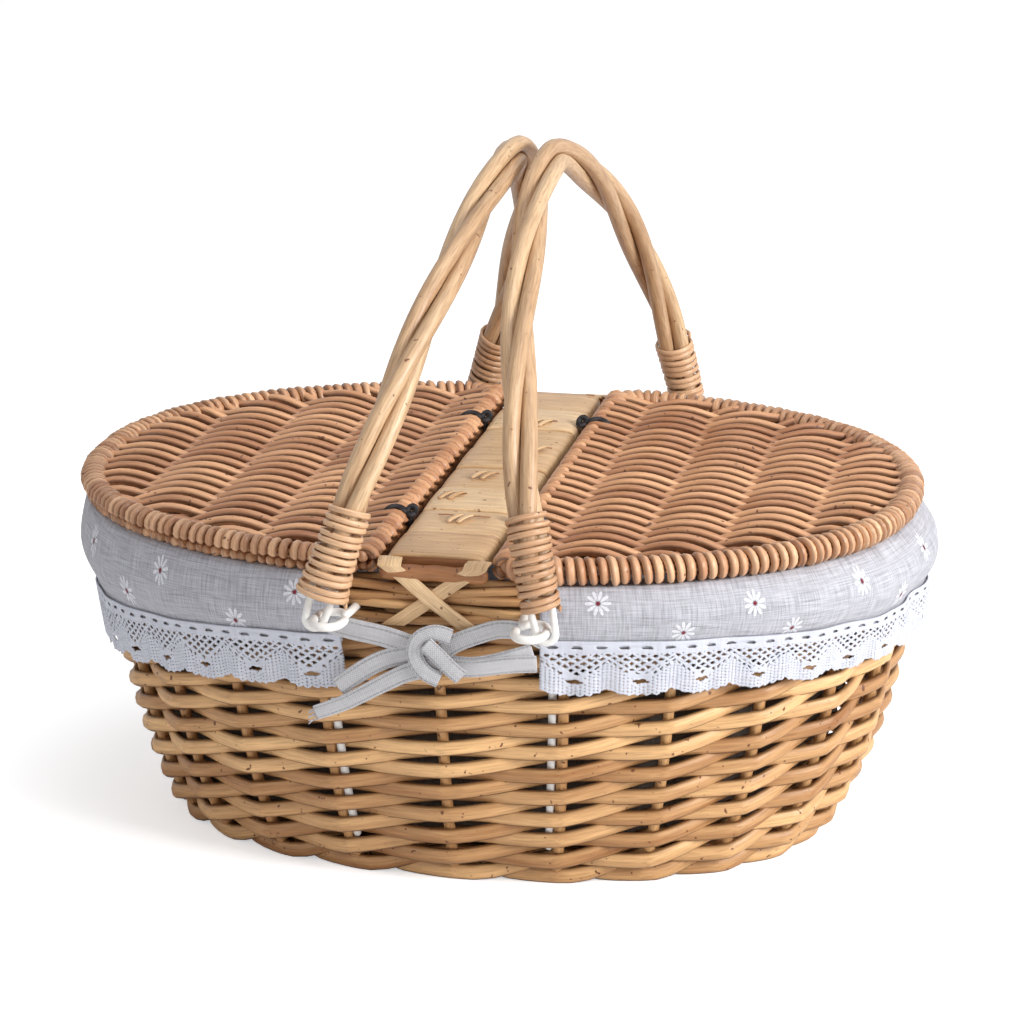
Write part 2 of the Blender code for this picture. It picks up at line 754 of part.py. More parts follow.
def make_whippings(side_name, pivot, tall):
    front = whip_points(tall)
    gap = least_gap(front, WHIP_CANE_RADIUS, WHIP_POINTS_PER_TURN // 2)
    print(f"{side_name} whippings: least gap between turns {1000.0 * gap:.2f} mm")
    back = [Vector((point.x, -point.y, point.z)) for point in front]
    for end_name, points in (("front", front), ("back", back)):
        name = f"{side_name}_handle_whipping_{end_name}"
        rod(name, points, WHIP_CANE_RADIUS, "cane", pivot, fine=0)


def make_handle(side_name, pivot, tall):
    make_handle_rods(side_name, pivot, tall)
    make_whippings(side_name, pivot, tall)
    for end_name, end in (("front", -1.0), ("back", 1.0)):
        make_link(f"{side_name}_handle_link_{end_name}", end, pivot)


def handle_pivots():
    """Each handle's pivot and height: the pivot's Y runs through both eyes, its Z up the arch."""
    lean = math.asin((LEFT_APEX_X + LEFT_PIVOT_X) / LEFT_HANDLE_HEIGHT)
    left = new_pivot("left_handle_pivot", Vector((-LEFT_PIVOT_X, 0.0, HANDLE_PIVOT_Z)),
                     Matrix.Rotation(lean, 4, "Y"))
    middle = RIGHT_PIVOT_X + 0.5 * RIGHT_BACK_SHIFT
    right_apex_x = LEFT_APEX_X + 2.0 * (bundle_spread() + HANDLE_ROD_RADIUS) + HANDLE_APEX_GAP
    lean = math.asin((right_apex_x - middle) / RIGHT_HANDLE_HEIGHT)
    skew = math.atan2(0.5 * RIGHT_BACK_SHIFT, HANDLE_HALF_SPAN)
    turn = Matrix.Rotation(-skew, 4, "Z") @ Matrix.Rotation(lean, 4, "Y")
    right = new_pivot("right_handle_pivot", Vector((middle, 0.0, HANDLE_PIVOT_Z)), turn)
    return (("left", left, LEFT_HANDLE_HEIGHT), ("right", right, RIGHT_HANDLE_HEIGHT))


# Lids, in each hinge's own frame with X pointing outward


def lid_reach(x, inset):
    """Half the lid's width at this distance from the hinge, inside an edge of this inset."""
    return oval_reach(LID_HALF_LENGTH - inset, LID_HALF_WIDTH - inset, x + LID_HINGE_X)


def make_lid_frame(name, pivot):
    """The bent edge rod with the ribs let into it."""
    inset = LID_EDGE_RADIUS
    length, width = LID_HALF_LENGTH - inset, LID_HALF_WIDTH - inset
    corner_x = LID_HINGE_X - LID_CORNER_SHARE * LID_EDGE_RADIUS
    first = math.acos((corner_x / length) ** (0.5 * OVAL_POWER))
    points = []
    for index in range(LID_EDGE_POINTS):
        angle = first * (2.0 * index / (LID_EDGE_POINTS - 1) - 1.0)
        point = oval(length, width, angle, 0.0)
        points.append(Vector((point.x - LID_HINGE_X, point.y, 0.0)))
    frame = as_mesh(rod(name, points, LID_EDGE_RADIUS, "reed", pivot))
    ribs = []
    for number in range(LID_RIB_COUNT):
        x = (number + 1) * LID_RIB_SPACING
        reach = lid_reach(x, LID_EDGE_RADIUS)
        ends = [Vector((x, -reach, 0.0)), Vector((x, reach, 0.0))]
        ribs.append(as_mesh(rod(f"{name}_rib_{number}", ends, LID_RIB_RADIUS, "reed", pivot)))
    boolean(frame, join(f"{name}_ribs", ribs), "UNION")


def reed_points(number):
    """One reed over and under the ribs, from the hinge rod to the edge."""
    y = (number + 0.5) * REED_PITCH
    inset = 2.0 * LID_EDGE_RADIUS + LID_EDGE_ROOM
    far_y = abs(y) + 0.5 * REED_WIDTH
    length, width = LID_HALF_LENGTH - inset, LID_HALF_WIDTH - inset
    if far_y >= width:
        return []
    end_x = oval_reach(width, length, far_y) - LID_HINGE_X
    if end_x < SHORTEST_REED:
        return []
    points = [Vector((0.0, y, 0.0))]
    side = 0.0
    for rib in range(LID_RIB_COUNT):
        x = (rib + 1) * LID_RIB_SPACING
        if x > end_x - REED_THICKNESS:
            break
        side = 1.0 if (number + rib) % 2 == 0 else -1.0
        points.append(Vector((x, y, side * REED_OFFSET)))
    rest = min((end_x - points[-1].x) / LID_RIB_SPACING, 1.0)
    points.append(Vector((end_x, y, side * REED_OFFSET * (1.0 - rest))))
    return points


def make_lid_weave(name, pivot):
    """The reeds, held at one end by the hinge rod."""
    end_y = lid_reach(0.0, 2.0 * LID_EDGE_RADIUS) - LID_EDGE_ROOM
    ends = [Vector((0.0, -end_y, 0.0)), Vector((0.0, end_y, 0.0))]
    hinge = as_mesh(rod(name, ends, HINGE_ROD_RADIUS, "reed", pivot))
    across = [Vector((0.0, 1.0, 0.0))] * (LID_RIB_COUNT + 2)
    half = math.ceil(LID_HALF_WIDTH / REED_PITCH)
    paths = [reed_points(number) for number in range(-half, half)]
    reeds = [
        ribbon(f"{name}_reed_{number}", points, across, REED_WIDTH, REED_THICKNESS, "reed", pivot)
        for number, points in enumerate(paths)
        if points
    ]
    boolean(hinge, join(f"{name}_reeds", reeds), "UNION")


def make_lids():
    for side_name, side in (("left", -1.0), ("right", 1.0)):
        turn = Matrix.Rotation(math.pi if side < 0.0 else 0.0, 4, "Z")
        pivot = new_pivot(f"{side_name}_lid_pivot", Vector((side * LID_HINGE_X, 0.0, LID_HINGE_Z)), turn)
        make_lid_frame(f"{side_name}_lid_frame", pivot)
        make_lid_weave(f"{side_name}_lid_weave", pivot)


def make_tie(name, side, y):
    """A ring of cord round the hinge rod, between two reeds, with its knot on the bridge's edge."""
    ring_radius = HINGE_ROD_RADIUS + TIE_CLEARANCE + TIE_CORD_RADIUS
    ring = [
        Vector((side * LID_HINGE_X + ring_radius * math.cos(turn), y,
                LID_HINGE_Z + ring_radius * math.sin(turn)))
        for turn in (2.0 * math.pi * step / TIE_RING_POINTS for step in range(TIE_RING_POINTS))
    ]
    cord = as_mesh(rod(name, ring, TIE_CORD_RADIUS, "dark_cord", closed=True, fine=0))
    rise = math.radians(TIE_KNOT_RISE_DEGREES)
    away = TIE_KNOT_RADIUS + GAP
    knot_x = 0.5 * BRIDGE_WIDTH + away * math.cos(rise)
    place = Vector((side * knot_x, y, BRIDGE_TOP + away * math.sin(rise)))
    knot = ball(f"{name}_knot", place, TIE_KNOT_RADIUS, (1.0, 1.0, 1.0), "dark_cord")
    boolean(cord, knot, "UNION")


def ball(name, place, radius, shares, colour):
    form = bmesh.new()
    bmesh.ops.create_uvsphere(form, u_segments=BALL_SEGMENTS, v_segments=BALL_RINGS, radius=radius)
    for vert in form.verts:
        vert.co = place + Vector(part * share for part, share in zip(vert.co, shares))
    mesh = bpy.data.meshes.new(name)
    form.to_mesh(mesh)
    form.free()
    return keep(name, mesh, colour)


def make_ties():
    for side_name, side in (("left", -1.0), ("right", 1.0)):
        for end_name, end in (("front", -1.0), ("back", 1.0)):
            make_tie(f"{side_name}_hinge_tie_{end_name}", side, end * TIE_Y)


# Liner, skirts, lace and tapes


def make_liner_bag():
    """The open cloth bag inside the wall, closed by its floor."""
    away = WALL_HALF_THICKNESS + LINER_AWAY
    top = RIM_TOP - LINER_EDGE_DROP
    heights = [share * top for share in LINER_ROW_SHARES]
    edge = 2.0 * (FOOT_RING_RADIUS + GAP) + LINER_FLOOR_INSET
    floor_height = FOOT_RING_RADIUS
    rows = 1 + len(heights)

    def place(u, v):
        angle = 2.0 * math.pi * u
        row = round(v * rows)
        if row == 0:
            level = BASE_THICKNESS + GAP + 0.5 * CLOTH_THICKNESS
            return oval(half_length(floor_height) - edge, half_width(floor_height) - edge,
                        angle, level)
        if row == rows:
            return oval(half_length(RIM_MIDDLE) - LINER_RIM_INSET,
                        half_width(RIM_MIDDLE) - LINER_RIM_INSET, angle, top)
        height = heights[row - 1]
        return wall_point(angle, height) - wall_normal(angle, height) * away

    bag = sheet("liner_bag", LINER_COLUMNS, rows, place, CLOTH_THICKNESS, "linen", closed=True)
    form = bmesh.new()
    form.from_mesh(bag.data)
    floor_edges = [
        edge_found for edge_found in form.edges
        if edge_found.is_boundary
        and all(vert.co.z < FIRST_ROW_HEIGHT for vert in edge_found.verts)
    ]
    bmesh.ops.holes_fill(form, edges=floor_edges, sides=len(floor_edges))
    bmesh.ops.recalc_face_normals(form, faces=form.faces)
    form.to_mesh(bag.data)
    form.free()


def hem_height(angle):
    return RIM_TOP - HEM_DROP_FRONT - HEM_DROP_AT_ENDS * math.cos(angle) ** 2


def outer_oval(angle, height, away):
    """A point at this distance outside the weave, or outside the border beside it."""
    length = half_length(height) + WALL_HALF_THICKNESS
    width = half_width(height) + WALL_HALF_THICKNESS
    share = min(max((height - RIM_BOTTOM) / RIM_BORDER_HEIGHT + 1.0, 0.0), 1.0)
    length += share * (half_length(RIM_MIDDLE) + BORDER_FACE - length)
    width += share * (half_width(RIM_MIDDLE) + BORDER_FACE - width)
    return oval(length + away, width + away, angle, height)


def fold(u, share):
    return share * SKIRT_FOLD_DEPTH * (0.5 - 0.5 * math.cos(2.0 * math.pi * SKIRT_FOLDS * u))


def skirt_edge_x(pivot_x):
    """Where a skirt ends, just clear of this pivot's eye."""
    return pivot_x - EYE_WIDTH + EYE_ROD_RADIUS + SKIRT_EYE_ROOM


def skirt_reach(side, end):
    """How far from the middle the skirt of this side begins, at this end of the basket."""
    return next(skirt_edge_x(pivot_x) for name, eye_side, eye_end, pivot_x in EYES
                if eye_side == side and eye_end == end)


def skirt_angles(side):
    """The angles of a skirt's front and back edges."""
    angles = []
    for name, eye_side, end, pivot_x in EYES:
        if eye_side == side:
            angle = angle_at(side * skirt_edge_x(pivot_x), RIM_MIDDLE, end)
            angles.append(angle + 2.0 * math.pi if side < 0.0 and angle < 0.0 else angle)
    return angles


def over_rim(angle, out, level):
    """A point this far outside the border's middle line, at this height."""
    return oval(half_length(RIM_MIDDLE) + out, half_width(RIM_MIDDLE) + out, angle, level)


def skirt_line(u, angle):
    """The skirt's points at one angle, from inside the rim, over it and down to the hem."""
    top = RIM_TOP + GAP + 0.5 * CLOTH_THICKNESS
    shoulder = RIM_TOP - SKIRT_SHOULDER_DROP_SHARE * (RIM_TOP - RIM_MIDDLE)
    return (
        over_rim(angle, -LINER_RIM_INSET, RIM_TOP - SKIRT_EDGE_DROP),
        over_rim(angle, -LINER_RIM_INSET, top - CLOTH_THICKNESS),
        over_rim(angle, -SKIRT_INSIDE_SHARE * LINER_RIM_INSET, top),
        over_rim(angle, SKIRT_SHOULDER_SHARE * LINER_RIM_INSET, top),
        outer_oval(angle, shoulder, LINER_AWAY),
        outer_oval(angle, RIM_BOTTOM, LINER_AWAY + fold(u, 0.5)),
        outer_oval(angle, hem_height(angle), LINER_AWAY + fold(u, 1.0)),
    )


def make_skirt(name, side):
    """Cloth from inside the rim, over it and down to the hem."""
    first, last = skirt_angles(side)

    def place(u, v):
        return skirt_line(u, first + (last - first) * u)[round(v * SKIRT_ROWS)]

    sheet(name, SKIRT_COLUMNS, SKIRT_ROWS, place, CLOTH_THICKNESS, "linen")


def make_lace(name, side):
    """A scalloped band over the hem."""
    first, last = skirt_angles(side)
    away = LINER_STAND_OFF + CLOTH_THICKNESS + LACE_STAND_OFF + 0.5 * CLOTH_THICKNESS

    def place(u, v):
        angle = first + (last - first) * u
        scallop = SCALLOP_DEPTH * (round(u * LACE_COLUMNS) % 2)
        height = hem_height(angle) + LACE_OVERLAP - (LACE_DEPTH - scallop) * (1.0 - v)
        return outer_oval(angle, height, away + fold(u, 1.0))

    sheet(name, LACE_COLUMNS, 1, place, CLOTH_THICKNESS, "lace")


def make_bow(name, end):
    """Two pairs of tapes from the skirts' corners, tied in a flat knot."""
    face = half_width(RIM_MIDDLE) + BORDER_FACE
    lashing_face = face + 2.0 * GAP + LASHING_THICKNESS
    knot_y = lashing_face + GAP + KNOT_RADIUS * KNOT_SHARES[1]
    lace_face = LINER_STAND_OFF + LACE_STAND_OFF + 2.0 * CLOTH_THICKNESS
    away = BORDER_FACE + lace_face + GAP + 0.5 * TAPE_THICKNESS
    rise = KNOT_DROP - TAPE_DROP
    across = [Vector((0.0, 0.0, 1.0))] * len(LEFT_TAPE_SHARES)
    knot = ball(name, Vector((end * -KNOT_X, end * knot_y, KNOT_Z)), KNOT_RADIUS, KNOT_SHARES,
                "tape")
    for number, shares in enumerate(
        (LEFT_TAPE_SHARES, TAIL_TAPE_SHARES, RIGHT_TAPE_SHARES, LOW_TAPE_SHARES)
    ):
        points = []
        side = end * -math.copysign(1.0, shares[0][0])
        edge = skirt_reach(side, end)
        reach = edge + TAPE_LAP
        side_y = oval_reach(half_length(RIM_MIDDLE) + away, half_width(RIM_MIDDLE) + away, edge)
        for along, up in shares:
            lean = min(abs(along), 1.0) ** 2
            y = knot_y + (side_y - knot_y) * lean
            x = end * -(along * reach + KNOT_X * (1.0 - min(abs(along), 1.0)))
            points.append(Vector((x, end * y, KNOT_Z + rise * up)))
        strip = ribbon(f"{name}_{number}", points, across, TAPE_WIDTH, TAPE_THICKNESS, "tape")
        boolean(knot, strip, "UNION")


def make_liner():
    make_liner_bag()
    for side_name, side in (("left", -1.0), ("right", 1.0)):
        make_skirt(f"liner_skirt_{side_name}", side)
        make_lace(f"lace_trim_{side_name}", side)
    make_bow("tape_bow_front", -1.0)
    make_bow("tape_bow_back", 1.0)


def main():
    make_base()
    make_stake_frame()
    make_weavers()
    make_rim_border()
    make_bridge()
    make_lashings()
    make_eyes()
    make_lids()
    make_ties()
    make_liner()
    for side_name, pivot, tall in handle_pivots():
        make_handle(side_name, pivot, tall)


clear_scene()
parts = new_collection("pie_basket")
helpers = new_collection("cutters")
main()
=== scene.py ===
# %% [markdown]
# # A willow picnic basket
# The solids of the basket come in as a fixed frame: they say where every rod, lid and eye sits
# and how the lids and handles move. This lesson dresses them. Each woven part is made again from
# single rods that pass over and under each other, because wicker is judged by its rods: their
# taper, their shine and the dark gaps between them.

# %% Load the frame
import math
import random

import bpy
import numpy as np
from mathutils import Matrix, Vector


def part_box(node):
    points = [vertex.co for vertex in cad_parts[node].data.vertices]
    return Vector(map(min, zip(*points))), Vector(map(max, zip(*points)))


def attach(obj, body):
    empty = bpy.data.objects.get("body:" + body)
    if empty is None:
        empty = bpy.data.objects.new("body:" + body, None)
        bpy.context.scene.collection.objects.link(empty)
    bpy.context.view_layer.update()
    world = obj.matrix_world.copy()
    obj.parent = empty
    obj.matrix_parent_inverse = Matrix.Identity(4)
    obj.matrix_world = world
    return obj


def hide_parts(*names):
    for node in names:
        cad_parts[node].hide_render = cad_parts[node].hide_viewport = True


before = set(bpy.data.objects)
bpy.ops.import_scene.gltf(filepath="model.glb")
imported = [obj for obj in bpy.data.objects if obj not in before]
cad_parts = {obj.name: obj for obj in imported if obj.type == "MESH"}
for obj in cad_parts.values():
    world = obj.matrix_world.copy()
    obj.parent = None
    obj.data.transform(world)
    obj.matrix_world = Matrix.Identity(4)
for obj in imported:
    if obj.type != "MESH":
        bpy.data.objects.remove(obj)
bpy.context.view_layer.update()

CHANCE = random.Random(11)

# %% [markdown]
# ## The camera and the light
# The basket was photographed from a little above and from the right of its middle, from far away
# with a long lens, so its lines hardly converge. A long lens on a camera two metres off does the
# same. The light is soft and comes from the right and the front, so the left end of the basket
# lies in its own shade.

# %% Camera
CAMERA_AIM = Vector((0.0058, 0.0, 0.1519))
CAMERA_TURN = math.radians(11.34)
CAMERA_RISE = math.radians(16.53)
CAMERA_DISTANCE = 1.995
CAMERA_LENS = 141.1

look_along = Vector((-math.sin(CAMERA_TURN) * math.cos(CAMERA_RISE),
                     math.cos(CAMERA_TURN) * math.cos(CAMERA_RISE),
                     -math.sin(CAMERA_RISE)))
bpy.ops.object.camera_add(location=CAMERA_AIM - CAMERA_DISTANCE * look_along,
                          rotation=look_along.to_track_quat("-Z", "Y").to_euler())
bpy.context.scene.camera = bpy.context.object
bpy.context.object.data.lens = CAMERA_LENS
bpy.context.scene.view_settings.view_transform = "Standard"


# %% Nodes in a material
def feed(tree, made, inputs):
    """Gives a node its inputs, as numbers or as the sockets of other nodes."""
    for key, value in inputs.items():
        if isinstance(value, bpy.types.NodeSocket):
            tree.links.new(value, made.inputs[key])
        else:
            made.inputs[key].default_value = value


def node(tree, kind, inputs=(), **settings):
    """One shader node with its settings and its inputs."""
    made = tree.nodes.new(kind)
    for key, value in settings.items():
        setattr(made, key, value)
    feed(tree, made, dict(inputs))
    return made


def new_material(name):
    """A material with its node tree and its Principled shader."""
    made = bpy.data.materials.new(name)
    made.use_nodes = True
    return made, made.node_tree, made.node_tree.nodes["Principled BSDF"]


def math_node(tree, operation, first, second=0.0, third=0.0):
    inputs = {0: first, 1: second, 2: third}
    return node(tree, "ShaderNodeMath", inputs, operation=operation).outputs[0]


def mix_colours(tree, share, first, second, blend="MIX"):
    mixer = node(tree, "ShaderNodeMix", {0: share, 6: first, 7: second},
                 data_type="RGBA", blend_type=blend)
    return mixer.outputs[2]


def remap(tree, value, low, high, first=0.0, last=1.0):
    """Takes low to the first value and high to the last, and goes no further."""
    inputs = {0: value, 1: low, 2: high, 3: first, 4: last}
    return node(tree, "ShaderNodeMapRange", inputs).outputs[0]


def noise(tree, place, scale=1.0, detail=2.0, roughness=0.5, distortion=0.0):
    inputs = {"Vector": place, "Scale": scale, "Detail": detail, "Roughness": roughness,
              "Distortion": distortion}
    return node(tree, "ShaderNodeTexNoise", inputs).outputs[0]


def relief(tree, height, strength, distance):
    inputs = {"Strength": strength, "Distance": distance, "Height": height}
    return node(tree, "ShaderNodeBump", inputs)


def map_run(tree, uv_map):
    """Both coordinates of a UV map."""
    uv = node(tree, "ShaderNodeUVMap", uv_map=uv_map)
    split = node(tree, "ShaderNodeSeparateXYZ", {0: uv.outputs[0]})
    return split.outputs[0], split.outputs[1]


def stretched(tree, first, second, scales, third=0.0):
    """A place for a noise, scaled by different amounts along its first two directions."""
    inputs = {0: math_node(tree, "MULTIPLY", first, scales[0]),
              1: math_node(tree, "MULTIPLY", second, scales[1]), 2: third}
    return node(tree, "ShaderNodeCombineXYZ", inputs).outputs[0]


def object_place(tree):
    return node(tree, "ShaderNodeTexCoord").outputs["Object"]


# %% Floor and light
FLOOR_SIZE = 12.0
FLOOR_WHITE = (0.93, 0.93, 0.935, 1.0)
FLOOR_ROUGHNESS = 0.9
FLOOR_GLOW = 0.52
BACKGROUND_WHITE = (1.0, 1.0, 1.0, 1.0)
SOFT_LIGHT = (0.975, 0.98, 1.0, 1.0)
SOFT_STRENGTH = 0.38
LAMP_AIM = Vector((0.0, 0.0, 0.12))


def make_floor():
    """A white floor that shows white to the camera apart from the basket's shadow."""
    bpy.ops.mesh.primitive_plane_add(size=FLOOR_SIZE, location=(0.0, 0.0, 0.0))
    floor = bpy.context.object
    floor.name = "floor"
    material, tree, shader = new_material("white_floor")
    feed(tree, shader, {"Base Color": FLOOR_WHITE, "Roughness": FLOOR_ROUGHNESS})
    light_path = node(tree, "ShaderNodeLightPath")
    glow = node(tree, "ShaderNodeEmission", {"Color": BACKGROUND_WHITE, "Strength": FLOOR_GLOW})
    both = node(tree, "ShaderNodeAddShader", {0: shader.outputs[0], 1: glow.outputs[0]})
    seen = node(tree, "ShaderNodeMixShader",
                {0: light_path.outputs["Is Camera Ray"], 1: shader.outputs[0], 2: both.outputs[0]})
    tree.links.new(seen.outputs[0], tree.nodes["Material Output"].inputs["Surface"])
    floor.data.materials.append(material)


def make_world():
    """White where the camera or a reflection sees it, and a soft dim light for all else."""
    world = bpy.data.worlds.new("studio")
    world.use_nodes = True
    bpy.context.scene.world = world
    tree = world.node_tree
    soft = tree.nodes["Background"]
    feed(tree, soft, {"Color": SOFT_LIGHT, "Strength": SOFT_STRENGTH})
    white = node(tree, "ShaderNodeBackground", {"Color": BACKGROUND_WHITE, "Strength": 1.0})
    light_path = node(tree, "ShaderNodeLightPath")
    seen = math_node(tree, "MAXIMUM", light_path.outputs["Is Camera Ray"],
                     light_path.outputs["Is Glossy Ray"])
    shown = node(tree, "ShaderNodeMixShader", {0: seen, 1: soft.outputs[0], 2: white.outputs[0]})
    tree.links.new(shown.outputs[0], tree.nodes["World Output"].inputs["Surface"])


def add_softbox(name, place, size, power):
    """A square lamp that faces the basket."""
    turn = (LAMP_AIM - Vector(place)).to_track_quat("-Z", "Y").to_euler()
    bpy.ops.object.light_add(type="AREA", location=place, rotation=turn)
    lamp = bpy.context.object
    lamp.name = name
    lamp.data.size = size
    lamp.data.energy = power
    print(name, power, "W")


make_floor()
make_world()
add_softbox("key_lamp", (2.0, -0.85, 1.05), 0.9, 54.0)
add_softbox("top_lamp", (0.5, -0.3, 2.2), 1.3, 17.0)
add_softbox("fill_lamp", (-1.5, -2.0, 0.9), 1.5, 6.5)

# %% [markdown]
# ## Finishes
# Willow rods are long wood fibres, so their colour runs in streaks along the rod. Every rod below
# carries its own length in its UV map and one random number, its tint, so that a noise stretched
# along the rod gives streaks that bend with it, and no two neighbours have the same colour.


# %% A finish for rods, reeds and canes
TINT_SHIFT = 37.0
FIBRE_SCALES, FINE_SCALES = (24.0, 6.0), (100.0, 26.0)
PATCH_SCALE, BUD_SCALE = 17.0, 300.0
TINT_WEIGHT, FIBRE_WEIGHT, PATCH_WEIGHT = 0.62, 1.1, 0.5
LIGHTNESS = -0.61
FINE_LOW, FINE_HIGH, FINE_DARK = 0.42, 0.78, 0.38
# How dark the painted shade in the creases between rods gets, as a share of the speck colour.
CREASE_SHADE_DARK = 0.45
BUD_EDGE = 0.05
FIBRE_HEIGHT = 0.6


def rod_finish(name, dark, light, speck, roughness=0.45, speck_share=0.68, streak=1.0,
               shade_in_creases=0.0, crease_turn=0.0):
    """Streaks along the rod, a tint for each rod, painted shade along its creases and specks at its buds.
    """
    material, tree, shader = new_material(name)
    along, around = map_run(tree, "rod")
    tint = node(tree, "ShaderNodeAttribute", attribute_name="tint").outputs["Fac"]
    offset = math_node(tree, "MULTIPLY", tint, TINT_SHIFT)
    fibre = noise(tree, stretched(tree, along, around, FIBRE_SCALES, offset), detail=4.0, roughness=0.6)
    fine = noise(tree, stretched(tree, along, around, FINE_SCALES, offset))
    place = object_place(tree)
    share = math_node(tree, "MULTIPLY_ADD", tint, TINT_WEIGHT,
                      math_node(tree, "MULTIPLY_ADD", fibre, FIBRE_WEIGHT, LIGHTNESS))
    share = math_node(tree, "MULTIPLY_ADD", noise(tree, place, PATCH_SCALE), PATCH_WEIGHT, share)
    share = node(tree, "ShaderNodeClamp", {"Value": share}).outputs[0]
    colour = mix_colours(tree, share, (*dark, 1.0), (*light, 1.0))
    lines = remap(tree, fine, FINE_LOW, FINE_HIGH, last=FINE_DARK * streak)
    colour = mix_colours(tree, lines, colour, (*speck, 1.0))
    # Painted shade: the rod's edges where it meets its neighbours are darkened towards a dark brown.
    if shade_in_creases > 0.0:
        turn = math_node(tree, "MULTIPLY_ADD", around, 4.0 * math.pi, crease_turn)
        wave = math_node(tree, "MULTIPLY_ADD", math_node(tree, "COSINE", turn), -0.5, 0.5)
        crease_shade = math_node(tree, "MULTIPLY", math_node(tree, "POWER", wave, 3.0), shade_in_creases)
        colour = mix_colours(tree, crease_shade, colour, (*[CREASE_SHADE_DARK * part for part in speck], 1.0))
    bud = remap(tree, noise(tree, place, BUD_SCALE, 1.0), speck_share, speck_share + BUD_EDGE)
    colour = mix_colours(tree, bud, colour, (*speck, 1.0))
    height = math_node(tree, "MULTIPLY_ADD", fibre, FIBRE_HEIGHT, fine)
    feed(tree, shader, {"Base Color": colour, "Specular IOR Level": 0.5,
                        "Roughness": remap(tree, fibre, 0.0, 1.0, roughness - 0.10, roughness + 0.12),
                        "Normal": relief(tree, height, 0.4, 0.0006).outputs[0]})
    return material


# The strengths below set the painted shade along each rod's edges; SIDE_CREASE turns it to a reed's sides,
# where reeds meet.
SIDE_CREASE = math.pi
WILLOW = rod_finish("golden_willow", (0.33, 0.137, 0.040), (0.90, 0.555, 0.255), (0.16, 0.055, 0.016),
                    speck_share=0.71, shade_in_creases=0.75)
STAKE = rod_finish("orange_willow", (0.40, 0.18, 0.06), (0.72, 0.42, 0.18), (0.16, 0.06, 0.02))
REED = rod_finish("tan_reed", (0.33, 0.115, 0.040), (0.92, 0.51, 0.265), (0.12, 0.040, 0.016),
                  roughness=0.34, shade_in_creases=0.8, crease_turn=SIDE_CREASE, speck_share=0.71)
EDGE_REED = rod_finish("tan_edge_reed", (0.38, 0.155, 0.065), (0.92, 0.56, 0.32), (0.12, 0.040, 0.016),
                       roughness=0.34, shade_in_creases=0.5, crease_turn=SIDE_CREASE, speck_share=0.72)
PEELED = rod_finish("peeled_willow_rod", (0.33, 0.165, 0.075), (0.70, 0.49, 0.29), (0.17, 0.065, 0.025),
                    roughness=0.40, speck_share=0.73, streak=1.3)
CANE = rod_finish("whipping_cane", (0.34, 0.145, 0.058), (0.82, 0.53, 0.31), (0.16, 0.06, 0.025),
                  roughness=0.26, speck_share=0.74, streak=0.8)
BROWN_ROD = rod_finish("rolled_brown_rod", (0.20, 0.065, 0.020), (0.56, 0.26, 0.10), (0.08, 0.025, 0.01))
CHIP = rod_finish("straw_chip", (0.50, 0.275, 0.115), (0.93, 0.68, 0.40), (0.28, 0.12, 0.045),
                  roughness=0.42, speck_share=0.70, streak=1.4)
TAPE_THREAD = rod_finish("frayed_thread", (0.52, 0.51, 0.53), (0.68, 0.67, 0.69), (0.40, 0.39, 0.41))

# %% Coated wire and cord
CORD_TWISTS = 900.0


def coating_finish():
    """White plastic over wire, a little yellowed and uneven."""
    material, tree, shader = new_material("white_coating_gloss")
    patch = noise(tree, object_place(tree), 60.0, 3.0)
    colour = mix_colours(tree, patch, (0.74, 0.71, 0.66, 1.0), (0.90, 0.89, 0.87, 1.0))
    feed(tree, shader, {"Base Color": colour, "Roughness": remap(tree, patch, 0.0, 1.0, 0.28, 0.5),
                        "Normal": relief(tree, patch, 0.2, 0.0004).outputs[0]})
    return material


def cord_finish():
    """Near-black plaited cord."""
    material, tree, shader = new_material("black_cord")
    along, around = map_run(tree, "rod")
    twist = math_node(tree, "MULTIPLY_ADD", along, CORD_TWISTS,
                      math_node(tree, "MULTIPLY", around, 2.0 * math.pi))
    share = math_node(tree, "MULTIPLY_ADD", math_node(tree, "SINE", twist), 0.5, 0.5)
    colour = mix_colours(tree, share, (0.012, 0.010, 0.011, 1.0), (0.050, 0.045, 0.048, 1.0))
    feed(tree, shader, {"Base Color": colour, "Roughness": 0.75, "Specular IOR Level": 0.25,
                        "Normal": relief(tree, share, 0.5, 0.0004).outputs[0]})
    return material


COATING = coating_finish()
BLACK_CORD = cord_finish()


# %% Cloth
SEAM_STITCH = 0.0021
SLUB_SCALES = (1300.0, 60.0)
WRINKLE_SCALES = (22.0, 75.0)


def sew(tree, run, beside, seam, colour, gap, height):
    """A seam of dashed stitches on both sides of the middle, sunk into the cloth."""
    away = math_node(tree, "SUBTRACT", math_node(tree, "ABSOLUTE", beside), seam)
    line = remap(tree, math_node(tree, "ABSOLUTE", away), 0.0002, 0.0005, 1.0, 0.0)
    dashes = math_node(tree, "SINE", math_node(tree, "MULTIPLY", run, 2.0 * math.pi / SEAM_STITCH))
    dashed = math_node(tree, "MULTIPLY", line, math_node(tree, "MULTIPLY_ADD", dashes, 0.25, 0.75))
    darker = mix_colours(tree, math_node(tree, "MULTIPLY", dashed, 0.55), colour, (*gap, 1.0), "MULTIPLY")
    return darker, math_node(tree, "SUBTRACT", height, math_node(tree, "MULTIPLY", dashed, 2.5))


